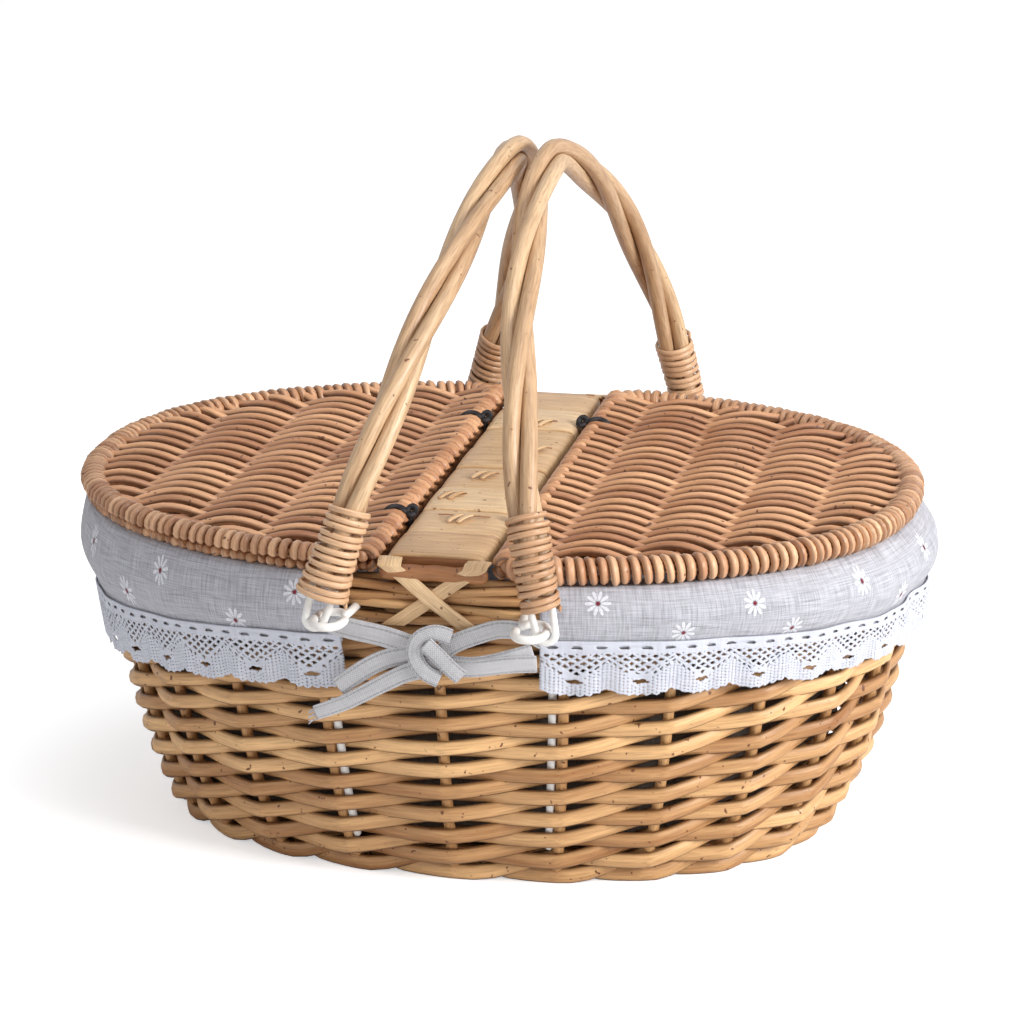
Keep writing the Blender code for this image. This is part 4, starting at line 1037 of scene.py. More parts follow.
def eye_route(side, end, pivot_x):
    """Up the weave beside a stake, out of the border and once round the eye."""
    near = pivot_x - EYE_WIDTH
    angle = stem_angle(side * near, end)
    shares = [(step / STEM_STEPS) ** STEM_SPREAD for step in range(STEM_STEPS + 1)]
    stem = [wall_point(angle, STEM_FOOT + (RIM_BOTTOM - STEM_FOOT) * share) for share in shares]
    inner, outer = HANDLE_HALF_SPAN - EYE_IN, HANDLE_HALF_SPAN + EYE_OUT
    middle_x, middle_y = pivot_x - 0.5 * EYE_WIDTH, 0.5 * (inner + outer)
    wall_y = oval_reach(half_length(RIM_MIDDLE), half_width(RIM_MIDDLE), near)
    loop = [(near, wall_y), (near, 0.5 * (wall_y + inner))]
    for step in range(EYE_STEPS):
        turn = EYE_FIRST + EYE_TURN * step
        loop.append((middle_x + 0.5 * EYE_WIDTH * signed_power(math.sin(turn), EYE_SQUARENESS),
                     middle_y - 0.5 * (outer - inner) * signed_power(math.cos(turn), EYE_SQUARENESS)))
    return stem + smooth([Vector((side * x, end * y, HANDLE_PIVOT_Z)) for x, y in loop], 2)


for name, (side, end, pivot_x) in EYES.items():
    coated = rods(f"coated_{name}", [eye_route(side, end, pivot_x)], EYE_ROD_RADIUS, EYE_ROD_RADIUS,
                  COATING, twist="MINIMUM", fine=3)
    settle(coated, "basket", "white_coating", name)

# %% [markdown]
# ## Lids
# Each lid is woven like a mat. Reeds run from the hinge rod to the rim, over one rib and under
# the next, and every second reed starts the other way round, so that their crests stand in
# columns. Near the edge they lean outward and tuck under the border. The border is a row of short
# reeds, each bent round the edge rod like a letter C with its own small tilt, because an even coil
# looks like a spring and not like basketry.

# %% Lid sizes
LID_OVERHANG = 0.011
LID_HALF_LENGTH, LID_HALF_WIDTH = RIM_HALF_LENGTH + LID_OVERHANG, RIM_HALF_WIDTH + LID_OVERHANG
LID_HINGE_X, LID_HINGE_Z = 0.033, 0.1707
LID_RIB_RADIUS = 0.0022
LID_RIBS = 4
LID_RIB_SPACING = (LID_HALF_LENGTH - 0.0126 - LID_HINGE_X) / (LID_RIBS + 0.44)
LID_RIB_INSET = 0.009
REED_PITCH = 0.00585
REED_HALF_WIDTH, REED_HALF_HEIGHT = 0.0029, 0.0023
REED_SWING = 0.0042
REED_LEAN, REED_LEAN_RUN = 0.0220, 0.040
REED_INSET = 0.0085
REED_STEP = 0.0040
REED_DRIFT, REED_DRIFT_TURN = 0.0006, 25.0
REED_TUCK, REED_TUCK_RUN = 0.0026, 0.010
REED_SHORTEST, REED_LEANING = 0.010, 0.030
REED_WRAP_TURNS = {1.0: (1.5, 0.5), -1.0: (0.35, 1.5)}
REED_WRAP_STEPS = 7
HINGE_CORE = 0.0024
EDGE_CORE = 0.0022


def lid_point(side, x, y, z):
    """A point of a lid given from its hinge: out, along and up."""
    return Vector((side * (LID_HINGE_X + x), y, LID_HINGE_Z + z))


def reed_end(y, inset):
    length, width = LID_HALF_LENGTH - inset, LID_HALF_WIDTH - inset
    if abs(y) >= width:
        return 0.0
    return oval_reach(width, length, y) - LID_HINGE_X


# %% Reeds of a lid
def reed_lean(y):
    """How far a reed leans outward, and where it ends: less where it would miss the border."""
    share = y / LID_HALF_WIDTH
    lean = REED_LEAN * share * (1.0 - share * share)
    end = reed_end(y + lean, REED_INSET)
    while end < REED_LEANING and abs(lean) > 0.0004:
        lean *= 0.7
        end = reed_end(y + lean, REED_INSET)
    return lean, end


def reed_route(side, number):
    """One reed from round the hinge rod to under the border, leaning outward at its end."""
    y = (number + 0.5) * REED_PITCH
    lean, end = reed_lean(y)
    if end < REED_SHORTEST:
        return None
    over = 1.0 if number % 2 == 0 else -1.0
    points = []
    wrap = HINGE_CORE + REED_HALF_HEIGHT
    first, last = REED_WRAP_TURNS[over]
    for step in range(REED_WRAP_STEPS + 1):
        turn = math.pi * (first + (last - first) * step / REED_WRAP_STEPS)
        points.append((wrap * math.cos(turn), 0.0, wrap * math.sin(turn)))
    steps = max(4, round(end / REED_STEP))
    drift = CHANCE.uniform(-REED_DRIFT, REED_DRIFT)
    phase = CHANCE.uniform(0.0, 6.28)
    for step in range(1, steps + 1):
        x = end * step / steps
        wave = REED_SWING * over * math.cos(math.pi * x / LID_RIB_SPACING)
        woven = min(1.0, (end - x) / REED_TUCK_RUN)
        turned = max(0.0, 1.0 - (end - x) / REED_LEAN_RUN) ** 2
        points.append((x, lean * turned + drift * math.sin(REED_DRIFT_TURN * x + phase),
                       wave * woven + REED_TUCK * (1.0 - woven)))
    return [lid_point(side, x, y + aside, z) for x, aside, z in points]


# %% Border of a lid
WRAP_PITCH = 0.0050
WRAP_HALF_WIDTH, WRAP_HALF_THICKNESS = 0.0027, 0.0019
WRAP_RADIUS = EDGE_CORE + 0.0024
WRAP_TURNS, WRAP_POINTS = 0.95, 12
WRAP_OFFSET = 0.08
WRAP_LEAN = (0.25, 0.50)
WRAP_SHIFT = 0.05
WRAP_TUCK, WRAP_TUCK_SHARE = 0.0010, 0.12
EDGE_CLEAR = 0.0010
CORNER_RADIUS = 0.016
CORNER_STEPS = 40
LINE_STEPS = 900
UP = Vector((0.0, 0.0, 1.0))


def edge_route(side):
    """The border's middle line, from the hinge rod round the rim and back, with rounded corners."""
    inset = WRAP_RADIUS + WRAP_HALF_THICKNESS + EDGE_CLEAR
    length, width = LID_HALF_LENGTH - inset, LID_HALF_WIDTH - inset
    join_x = LID_HINGE_X + CORNER_RADIUS
    first = math.acos((join_x / length) ** (0.5 * OVAL_POWER))
    turns = [first * (2.0 * step / LINE_STEPS - 1.0) for step in range(LINE_STEPS + 1)]
    line = [oval(length, width, turn, 0.0) for turn in turns]
    corner_y = line[-1].y
    bend = []
    for step in range(1, CORNER_STEPS + 1):
        turn = 0.5 * math.pi * step / CORNER_STEPS
        x = join_x - (CORNER_RADIUS - 0.0004) * math.sin(turn)
        y = corner_y + 0.0012 * math.sin(turn) - CORNER_RADIUS * (1.0 - math.cos(turn))
        bend.append(Vector((x, y, 0.0)))
    front = [Vector((point.x, -point.y, 0.0)) for point in reversed(bend)]
    whole = [*front, *line, *bend]
    return [lid_point(side, point.x - LID_HINGE_X, point.y, 0.0) for point in whole]


def wraps(line):
    """Short reeds bent round a line, each with a small tilt and shift of its own."""
    run = running_length(line)
    count = int(run[-1] / WRAP_PITCH)
    routes = []
    for number in range(count):
        wanted = run[-1] * (number + 0.5 + CHANCE.uniform(-WRAP_SHIFT, WRAP_SHIFT)) / count
        place = int(np.searchsorted(run, wanted))
        middle = line[min(place, len(line) - 1)]
        along = direction(line, place, 3)
        out = along.cross(UP).normalized()
        lean = CHANCE.uniform(*WRAP_LEAN) * WRAP_PITCH
        reach = WRAP_RADIUS + CHANCE.uniform(-0.0002, 0.0003)
        route = []
        for step in range(WRAP_POINTS + 1):
            share = step / WRAP_POINTS
            turn = 2.0 * math.pi * (WRAP_TURNS * (0.5 - share) + WRAP_OFFSET)
            near_end = max(0.0, abs(share - 0.5) - 0.5 + WRAP_TUCK_SHARE) / WRAP_TUCK_SHARE
            away = reach - WRAP_TUCK * near_end
            route.append(middle + away * (math.cos(turn) * out + math.sin(turn) * UP)
                         + along * (lean * (share - 0.5) * 2.0))
        routes.append(route)
    return routes


# %% Weave both lids
def rib_route(side, x, reach):
    """Straight across the lid, this far to each side."""
    return [lid_point(side, x, reach * (step / 6 - 1.0), 0.0) for step in range(13)]


def rib_routes(side, line):
    """The ribs, the hinge rod and the rod inside the border."""
    routes = []
    for number in range(LID_RIBS):
        x = (number + 1) * LID_RIB_SPACING
        reach = oval_reach(LID_HALF_LENGTH - LID_RIB_INSET, LID_HALF_WIDTH - LID_RIB_INSET, x + LID_HINGE_X)
        routes.append(rib_route(side, x, reach))
    routes.append(rib_route(side, 0.0, abs(line[0].y) - 0.002))
    return [*routes, line[::20]]


for side_name, side in SIDES:
    last = round(LID_HALF_WIDTH / REED_PITCH)
    routes = [reed_route(side, number) for number in range(-last, last)]
    reeds = rods(f"{side_name}_lid_reeds", [route for route in routes if route],
                 REED_HALF_WIDTH, REED_HALF_HEIGHT, REED)
    settle(reeds, f"{side_name}_lid", "reed", f"{side_name}_lid_weave")
    line = edge_route(side)
    lid_ribs = rods(f"{side_name}_lid_ribs", rib_routes(side, line), LID_RIB_RADIUS, LID_RIB_RADIUS, REED)
    settle(lid_ribs, f"{side_name}_lid", "reed")
    edge = rods(f"{side_name}_lid_edge", wraps(line), WRAP_HALF_WIDTH, WRAP_HALF_THICKNESS,
                EDGE_REED, twist="MINIMUM")
    settle(edge, f"{side_name}_lid", "reed", f"{side_name}_lid_frame")

# %% [markdown]
# ## Ties
# Black cord goes round each lid's hinge rod and is knotted on the edge of the bridge. It is the
# whole hinge.

# %% Cord ties
BAND_RADIUS, BAND_SHIFTS, BAND_STEPS = 0.0072, (-0.0013, 0.0011), 20
CORD_RADIUS, KNOT_CORD_RADIUS = 0.0011, 0.0012
KNOT_SIZE = Vector((0.0022, 0.0030, 0.0016))
KNOT_LOOPS, KNOT_STEPS = 3, 14
KNOT_OUT, KNOT_UP = 0.0018, 0.0012


def band_route(side, y):
    """One turn of cord round the lid's hinge rod."""
    return [lid_point(side, BAND_RADIUS * math.cos(turn), y + 0.0004 * math.sin(2.0 * turn),
                      BAND_RADIUS * math.sin(turn)) for turn in round_turn(BAND_STEPS)]


def knot_loop(middle, number):
    """One of the loops that cross each other in the knot."""
    return [middle + Vector((KNOT_SIZE.x * math.cos(turn + number),
                             KNOT_SIZE.y * math.sin(turn) * math.cos(number),
                             KNOT_SIZE.z * math.sin(turn + 1.3 * number)))
            for turn in round_turn(KNOT_STEPS)]


def cord_tie(side_name, side, end_name):
    """A cord tie where the solids have theirs, with its knot on the edge of the bridge."""
    low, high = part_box(f"{side_name}_hinge_tie_{end_name}")
    y = 0.5 * (low.y + high.y)
    bands = rods(f"{side_name}_tie_band_{end_name}", [band_route(side, y + shift) for shift in BAND_SHIFTS],
                 CORD_RADIUS, CORD_RADIUS, BLACK_CORD, twist="MINIMUM", closed=True)
    middle = Vector((side * (0.5 * BRIDGE_WIDTH + KNOT_OUT), y, CHIP_TOP + KNOT_UP))
    loops = [knot_loop(middle, number) for number in range(KNOT_LOOPS)]
    knot = rods(f"{side_name}_tie_knot_{end_name}", loops, KNOT_CORD_RADIUS, KNOT_CORD_RADIUS,
                BLACK_CORD, twist="MINIMUM", closed=True)
    return join_all(f"{side_name}_cord_tie_{end_name}", [bands, knot])


for side_name, side in SIDES:
    for end_name, _ in ENDS:
        tie = cord_tie(side_name, side, end_name)
        settle(tie, "basket", "dark_cord", f"{side_name}_hinge_tie_{end_name}")

# %% [markdown]
# ## Handles
# Each handle is an arch of thick peeled rods that twist round each other, whipped with flat cane
# at both feet. The arch is laid out upright, as in the solids, and then leant by its pivot.

# %% Arch shape
HANDLE_HEIGHTS = {"left": 0.193, "right": 0.1865}
ARCH_CROWN_POWER, ARCH_LEG_POWER = 2.2, 1.46
HANDLE_ROD_RADIUS = 0.004028
ROD_AWAY = 0.0047
ROD_COUNT = 3
ROD_POINTS = 90
TWISTS = 2.2
PINCH, PINCH_HEIGHT = 0.88, 0.075
ARCH_STEPS = 4000
FOOT_HEIGHT = 0.017
LEFT_APEX_X, RIGHT_APEX_X = 0.0060, 0.0254
X_AXIS = Vector((1.0, 0.0, 0.0))


def arch_point(tall, turn):
    """A point of the upright arch, from the front foot at turn 0 to the back foot at half a turn."""
    aside = -signed_power(math.cos(turn), 2.0 / ARCH_LEG_POWER)
    up = max(math.sin(turn), 0.0) ** (2.0 / ARCH_CROWN_POWER)
    return Vector((0.0, HANDLE_HALF_SPAN * aside, tall * up))


def arch_line(tall, first_height, last_height, count):
    """Points at equal steps along the arch, from a height in front to a height behind.

    A last height below zero means that height on the front leg.
    """
    fine = [arch_point(tall, math.pi * step / ARCH_STEPS) for step in range(ARCH_STEPS + 1)]
    rising, falling = range(ARCH_STEPS // 2), range(ARCH_STEPS, ARCH_STEPS // 2, -1)
    start = next(index for index in rising if fine[index].z >= first_height)
    if last_height < 0.0:
        stop = next(index for index in rising if fine[index].z >= -last_height)
    else:
        stop = next(index for index in falling if fine[index].z >= last_height)
    run = running_length(fine[start:stop + 1])
    places = np.searchsorted(run, np.linspace(0.0, run[-1], count))
    return [fine[start + min(int(place), len(run) - 1)] for place in places]


def pinch(height):
    """The share of their distance to which the rods are drawn together near a foot."""
    share = min(max(height / PINCH_HEIGHT, 0.0), 1.0)
    return PINCH + (1.0 - PINCH) * share * share * (3.0 - 2.0 * share)


def arch_side(line, index):
    """The direction in the arch's plane that is square to its line."""
    return direction(line, index).cross(X_AXIS).normalized()


left_lean = math.asin((LEFT_APEX_X + LEFT_PIVOT_X) / HANDLE_HEIGHTS["left"])
right_middle = RIGHT_PIVOT_X + 0.5 * RIGHT_BACK_SHIFT
right_lean = math.asin((RIGHT_APEX_X - right_middle) / HANDLE_HEIGHTS["right"])
right_skew = math.atan2(0.5 * RIGHT_BACK_SHIFT, HANDLE_HALF_SPAN)
PIVOTS = {
    "left": Matrix.Translation((-LEFT_PIVOT_X, 0.0, HANDLE_PIVOT_Z))
    @ Matrix.Rotation(left_lean, 4, "Y"),
    "right": Matrix.Translation((right_middle, 0.0, HANDLE_PIVOT_Z))
    @ Matrix.Rotation(-right_skew, 4, "Z") @ Matrix.Rotation(right_lean, 4, "Y"),
}
print("handles lean by", round(math.degrees(left_lean), 1), "and", round(math.degrees(right_lean), 1))


# %% Handle rods
def handle_rod_route(side_name, number):
    """One of the rods that twist round the arch's line."""
    pivot, tall = PIVOTS[side_name], HANDLE_HEIGHTS[side_name]
    line = arch_line(tall, FOOT_HEIGHT, FOOT_HEIGHT, ROD_POINTS)
    points = []
    for index, station in enumerate(line):
        turn = 2.0 * math.pi * (TWISTS * index / (ROD_POINTS - 1) + number / ROD_COUNT)
        away = ROD_AWAY * pinch(station.z)
        outward = math.cos(turn) * X_AXIS + math.sin(turn) * arch_side(line, index)
        points.append(pivot @ (station + away * outward))
    return points


for side_name in PIVOTS:
    for number in range(ROD_COUNT):
        rod = rods(f"{side_name}_peeled_rod_{number + 1}", [handle_rod_route(side_name, number)],
                   HANDLE_ROD_RADIUS, HANDLE_ROD_RADIUS, PEELED, twist="MINIMUM", fine=3)
        settle(rod, f"{side_name}_handle", "peeled_willow", f"{side_name}_handle_rod_{number + 1}")

# %% Whippings
WHIP_TURNS = 12
WHIP_START, WHIP_END = 0.0098, 0.0530
WHIP_PER_TURN = 16
WHIP_HALF_HEIGHT, WHIP_HALF_THICKNESS = 0.0015, 0.0009
WHIP_FLARE = 0.42
WHIP_UNEVEN = 0.0004


def whip_route(side_name, end, flare):
    """The cane's turns round one foot, wider at the bottom by the flare."""
    pivot, tall = PIVOTS[side_name], HANDLE_HEIGHTS[side_name]
    count = WHIP_TURNS * WHIP_PER_TURN + 1
    line = arch_line(tall, WHIP_START, -WHIP_END, count)
    points = []
    for index, station in enumerate(line):
        turn = 2.0 * math.pi * index / WHIP_PER_TURN
        core = (ROD_AWAY + HANDLE_ROD_RADIUS) * pinch(station.z) + WHIP_HALF_THICKNESS
        wider = 1.0 + flare * (1.0 - index / (count - 1)) ** 2
        outward = wider * math.cos(turn) * X_AXIS + math.sin(turn) * arch_side(line, index)
        spot = station + core * outward
        spot.z += WHIP_UNEVEN * math.sin(2.7 * index / WHIP_PER_TURN)
        points.append(pivot @ Vector((spot.x, -end * spot.y, spot.z)))
    return points


for side_name in PIVOTS:
    for end_name, end in ENDS:
        flare = WHIP_FLARE if (side_name, end_name) == ("left", "front") else 0.0
        whip = rods(f"{side_name}_cane_whipping_{end_name}", [whip_route(side_name, end, flare)],
                    WHIP_HALF_THICKNESS, WHIP_HALF_HEIGHT, CANE)
        settle(whip, f"{side_name}_handle", "cane", f"{side_name}_handle_whipping_{end_name}")

# %% Links of the same wire
LINK_ROD_RADIUS = 0.0018
LINK_BEND_RADIUS = 0.0044
LINK_BEND_STEPS = 12
LINK_TOP_HALF_WIDTH = 0.0056
LINK_TOP = FOOT_HEIGHT - 0.0003


def link_route(side_name, end):
    """A narrow U hung on the eye, with its legs up in the whipping."""
    y = end * HANDLE_HALF_SPAN
    turns = [math.pi * step / LINK_BEND_STEPS for step in range(LINK_BEND_STEPS + 1)]
    bend = [Vector((-LINK_BEND_RADIUS * math.cos(turn), y, -LINK_BEND_RADIUS * math.sin(turn)))
            for turn in turns]
    first, last = [Vector((half * LINK_TOP_HALF_WIDTH, y, LINK_TOP)) for half in (-1.0, 1.0)]
    return [PIVOTS[side_name] @ point for point in [first, *bend, last]]


for side_name in PIVOTS:
    for end_name, end in ENDS:
        link = rods(f"{side_name}_coated_link_{end_name}", [link_route(side_name, end)],
                    LINK_ROD_RADIUS, LINK_ROD_RADIUS, COATING, twist="MINIMUM", fine=3)
        settle(link, f"{side_name}_handle", "white_coating", f"{side_name}_handle_link_{end_name}")

# %% [markdown]
# ## Liner
# The cloth liner is a bag inside the basket whose edge turns over the rim as two skirts. Each
# skirt is one sheet with soft folds, a printed sprinkle of daisies, and a lace hem.

# %% Skirt surface
CLOTH_THICKNESS = 0.0011
SKIRT_CLEAR = EYE_WIDTH - EYE_ROD_RADIUS - 0.0028
LEFT_EDGE_X = LEFT_PIVOT_X - SKIRT_CLEAR
RIGHT_EDGE_X = RIGHT_PIVOT_X - SKIRT_CLEAR
WALL_FACE = 0.0077
SKIRT_GAP = 0.0004
SKIRT_INNER = BORDER_FACE + 0.0021
INSIDE_SHARE, TOP_SHARE = 0.15, 0.35
INSIDE_DEPTH = 0.011
HEM_MIDDLE, HEM_RISE, HEM_SLANT, HEM_SLANT_END = 0.1335, -0.0150, 0.035, -0.13
BULGE, LEFT_BULGE, RIGHT_BULGE = 0.0022, 0.0010, 0.0070
FOLD_DEPTH, LEFT_FOLDS, RIGHT_FOLDS = 0.0006, -0.0003, 0.0008


def skirt_range(side):
    """The angles of a skirt's front and back edges."""
    if side > 0.0:
        return (angle_at(RIGHT_EDGE_X, RIM_MIDDLE, -1.0),
                angle_at(RIGHT_EDGE_X + RIGHT_BACK_SHIFT, RIM_MIDDLE, 1.0))
    front, back = [angle_at(-LEFT_EDGE_X, RIM_MIDDLE, end) for end in (-1.0, 1.0)]
    return front + 2.0 * math.pi, back


def skirt_angle(side, u):
    first, last = skirt_range(side)
    return first + (last - first) * u


def hem_height(angle):
    """Lowest at the left of the front, where the cloth was pulled down most."""
    x = half_length(RIM_MIDDLE) * math.cos(angle)
    return HEM_MIDDLE + HEM_RISE * math.cos(angle) ** 2 + HEM_SLANT * max(x, HEM_SLANT_END)


def outer_point(angle, height, away):
    """A point this far outside the weave, or outside the border beside it."""
    length = half_length(height) + fullness(angle, height) + WALL_FACE
    width = half_width(height) + WALL_FACE
    share = min(max((height - RIM_BOTTOM) / (RIM_TOP - RIM_BOTTOM) + 1.0, 0.0), 1.0)
    length += share * (half_length(RIM_MIDDLE) + BORDER_FACE - length)
    width += share * (half_width(RIM_MIDDLE) + BORDER_FACE - width)
    return oval(length + away, width + away, angle, height)


def folds(angle, share):
    """Soft folds that deepen towards the hem: deepest at the right end, flattest at the left."""
    wave = math.sin(17.0 * angle + 1.0) + 0.6 * math.sin(31.0 * angle + 2.0) + 0.4 * math.sin(9.0 * angle)
    end_folds = RIGHT_FOLDS if math.cos(angle) > 0.0 else LEFT_FOLDS
    return share * (FOLD_DEPTH + end_folds * math.cos(angle) ** 4) * (wave + 2.0)


def skirt_point(side, u, v):
    """The skirt's surface, from inside the rim at v = 0 over the rim to the hem at v = 1."""
    angle = skirt_angle(side, u)
    if v < INSIDE_SHARE:
        share = v / INSIDE_SHARE
        return rim_point(angle, -SKIRT_INNER, RIM_TOP - INSIDE_DEPTH + (INSIDE_DEPTH + 0.0002) * share)
    if v < TOP_SHARE:
        share = (v - INSIDE_SHARE) / (TOP_SHARE - INSIDE_SHARE)
        arch = RIM_TOP + 0.0004 + 0.0006 * math.sin(math.pi * share)
        return rim_point(angle, SKIRT_INNER * (1.75 * share - 1.0), arch)
    share = (v - TOP_SHARE) / (1.0 - TOP_SHARE)
    bulge = BULGE + (RIGHT_BULGE if side > 0.0 else LEFT_BULGE) * math.cos(angle) ** 2
    top = RIM_TOP - 0.0005
    away = SKIRT_GAP + bulge * math.sin(math.pi * min(share * 1.15, 1.0)) + folds(angle, share)
    return outer_point(angle, top + (hem_height(angle) - top) * share, away)


# %% Both skirts
SKIRT_COLUMNS, SKIRT_ROWS = 260, 40
MEASURE_STEPS = 40


def cloth_grid(name, columns, rows, place, material):
    """A grid primitive laid by place(u, v), mapped in metres, and given its thickness."""
    piece = new_grid(name, columns, rows)
    shares = [(vert.co.x + 0.5, vert.co.y + 0.5) for vert in piece.data.vertices]
    for vert, (u, v) in zip(piece.data.vertices, shares):
        vert.co = place(u, v)
    steps = [step / MEASURE_STEPS for step in range(MEASURE_STEPS + 1)]
    width = running_length([place(step, 0.5) for step in steps])[-1]
    depth = running_length([place(0.5, step) for step in steps])[-1]
    mark_cloth(piece, lambda index: (shares[index][0] * width, shares[index][1] * depth))
    thicken(piece, CLOTH_THICKNESS)
    close_ends(piece)
    dress(piece, material)
    return piece, (width, depth)


for side_name, side in SIDES:
    skirt, flat_size = cloth_grid(f"{side_name}_linen_skirt", SKIRT_COLUMNS, SKIRT_ROWS,
                                  lambda u, v: skirt_point(side, u, v), LINEN)
    settle(skirt, "basket", "linen", f"liner_skirt_{side_name}")

# %% Daisies
DAISY_RADIUS = 0.0058
DAISY_COLUMNS = 7
DAISY_FIRST, DAISY_ROW_PITCH = 0.52, 0.30
PRINT_WIDTH, PRINT_DEPTH = 0.19, 0.045
PETALS = 10
PETAL_SHAPE = ((0.24, 0.06), (0.6, 0.135), (0.90, 0.11))
PETAL_LIFT, HEART_LIFT = 0.0001, 0.0002
HEART_RADIUS = 0.0010
HEART_TURNS = (0.0, 1.05, 2.09, 3.14, 4.19, 5.24)


def petal_outline(turn):
    """The points of a petal, in pairs from the heart outward, and its tip."""
    cosine, sine = DAISY_RADIUS * math.cos(turn), DAISY_RADIUS * math.sin(turn)
    pairs = [(share, flank) for share, half in PETAL_SHAPE for flank in (-half, half)]
    return [(share * cosine - flank * sine, share * sine + flank * cosine)
            for share, flank in [*pairs, (1.0, 0.0)]]


def on_print(side, u, v, lift):
    """A point of the print, this far above the skirt's outer face."""
    spot = skirt_point(side, u, v)
    beside, below = skirt_point(side, u + 0.001, v), skirt_point(side, u, v + 0.01)
    normal = (beside - spot).cross(below - spot).normalized()
    if normal.dot(Vector((spot.x, spot.y, 0.0))) < 0.0:
        normal = -normal
    return spot + normal * (0.5 * CLOTH_THICKNESS + lift)


def make_daisies(side_name, side):
    """Printed daisies as paper-thin petals laid on the skirt."""
    first, last = skirt_range(side)
    run = abs(last - first) * PRINT_WIDTH
    petal_faces, heart_faces, points = [], [], []
    for column in range(DAISY_COLUMNS):
        for row in range(2):
            u = (column + 0.3 + 0.5 * row + CHANCE.uniform(-0.12, 0.12)) / (DAISY_COLUMNS + 0.1)
            v = DAISY_FIRST + DAISY_ROW_PITCH * row + CHANCE.uniform(-0.05, 0.05)
            spin = CHANCE.uniform(0.0, 1.0)
            for petal in range(PETALS):
                start = len(points)
                outline = petal_outline(2.0 * math.pi * (petal + spin) / PETALS)
                points += [on_print(side, u + dx / run, v + dy / PRINT_DEPTH, PETAL_LIFT)
                           for dx, dy in outline]
                petal_faces += [(start, start + 1, start + 3, start + 2),
                                (start + 2, start + 3, start + 5, start + 4),
                                (start + 4, start + 5, start + 6)]
            heart_faces.append(tuple(range(len(points), len(points) + len(HEART_TURNS))))
            points += [on_print(side, u + HEART_RADIUS * math.cos(turn) / run,
                                v + HEART_RADIUS * math.sin(turn) / PRINT_DEPTH, HEART_LIFT)
                       for turn in HEART_TURNS]
    mesh = bpy.data.meshes.new(f"{side_name}_daisies")
    mesh.from_pydata(points, [], petal_faces + heart_faces)
    daisies = bpy.data.objects.new(f"{side_name}_daisies", mesh)
    bpy.context.scene.collection.objects.link(daisies)
    mesh.materials.append(PETAL)
    mesh.materials.append(HEART)
    mark_cloth(daisies, lambda index: (points[index].x + points[index].y, points[index].z))
    for face in mesh.polygons:
        face.material_index = 1 if face.index >= len(petal_faces) else 0
    return daisies


for side_name, side in SIDES:
    settle(make_daisies(side_name, side), "basket", "linen")

# %% [markdown]
# ## Lace
# The lace is crochet cotton with real holes: a cord along the top, a row of eyelets, a net of small
# diamonds, a dotted V over each scallop with a lens-shaped hole at its foot, and picots along the
# edge. It is a fine grid whose cells are left out where a hole is, found by a small function of
# the place in the pattern, so that the holes are true and the basket shows through them.

# %% Lace pattern
SCALLOP = 0.028
LACE_DEPTH = 0.0295
EYELET_PITCH, EYELET_HALF_LENGTH, EYELET_HALF_HEIGHT = 0.0098, 0.0024, 0.0009
EYELET_LINE, EYELET_END = 0.0034, 0.0052
NET_LENGTH, NET_HEIGHT, NET_HOLE, NET_TOP, NET_EDGE = 0.0050, 0.0040, 0.29, 0.0064, 0.0022
VEE_FOOT, VEE_RISE, VEE_HALF_WIDTH, VEE_START = 0.0215, 0.0200, 0.0006, 0.16
LENS_LINE, LENS_HALF_LENGTH, LENS_HALF_HEIGHT, LENS_FRAME = 0.0222, 0.0036, 0.0011, 0.0010
DOT_PITCH = 0.0025
STITCH_PITCH, STITCH_HOLE = 0.0018, 0.34
NOTCH_SHARE, NOTCH_POWER = 0.12, 2.4
PICOT_SHARE, PICOT_PITCH = 0.032, 0.0041


def in_oval(x, y, length, height):
    return (x / length) ** 2 + (y / height) ** 2 < 1.0


def from_middle(x, pitch):
    """Where x lies in its repeat of the pattern, from -0.5 to 0.5 with 0 in the middle."""
    return (x / pitch) % 1.0 - 0.5


def lace_hole(x, y):
    """True where the pattern has a hole, for x along the hem and y down from the top, in metres."""
    inside = from_middle(x, SCALLOP)
    if y < EYELET_END:
        beside = from_middle(x, EYELET_PITCH) * EYELET_PITCH
        return in_oval(beside, y - EYELET_LINE, EYELET_HALF_LENGTH, EYELET_HALF_HEIGHT)
    line = VEE_FOOT - VEE_RISE * abs(inside)
    if NET_TOP < y < line - NET_EDGE:
        first = from_middle(x / NET_LENGTH + y / NET_HEIGHT, 1.0)
        second = from_middle(x / NET_LENGTH - y / NET_HEIGHT, 1.0)
        return max(abs(first), abs(second)) < NET_HOLE
    if abs(y - line) < VEE_HALF_WIDTH and abs(inside) > VEE_START:
        return (x / DOT_PITCH) % 1.0 < 0.5
    across, down = inside * SCALLOP, y - LENS_LINE
    if in_oval(across, down, LENS_HALF_LENGTH + LENS_FRAME, LENS_HALF_HEIGHT + LENS_FRAME):
        return in_oval(across, down, LENS_HALF_LENGTH, LENS_HALF_HEIGHT)
    if y > line + LENS_FRAME:
        shift = 0.5 * ((x // STITCH_PITCH) % 2)
        return ((x / STITCH_PITCH) % 1.0 < STITCH_HOLE
                and (y / STITCH_PITCH + shift) % 1.0 < STITCH_HOLE)
    return False


def lace_edge(x):
    """The share of its depth that the lace reaches down at this place: scallops with picots."""
    scallop = 1.0 - NOTCH_SHARE * (2.0 * abs(from_middle(x, SCALLOP))) ** NOTCH_POWER
    return scallop - PICOT_SHARE * abs(math.sin(math.pi * x / PICOT_PITCH))


# %% Both laces
LACE_CELL = 0.00060
LACE_THICKNESS = 0.0006
LACE_GATHER = 0.26
LACE_OVERLAP = 0.0040
LACE_LIFT = 0.0004
LACE_FLARE, LACE_FLARES = 0.0008, 31.0
LACE_MEASURE_STEPS = 60


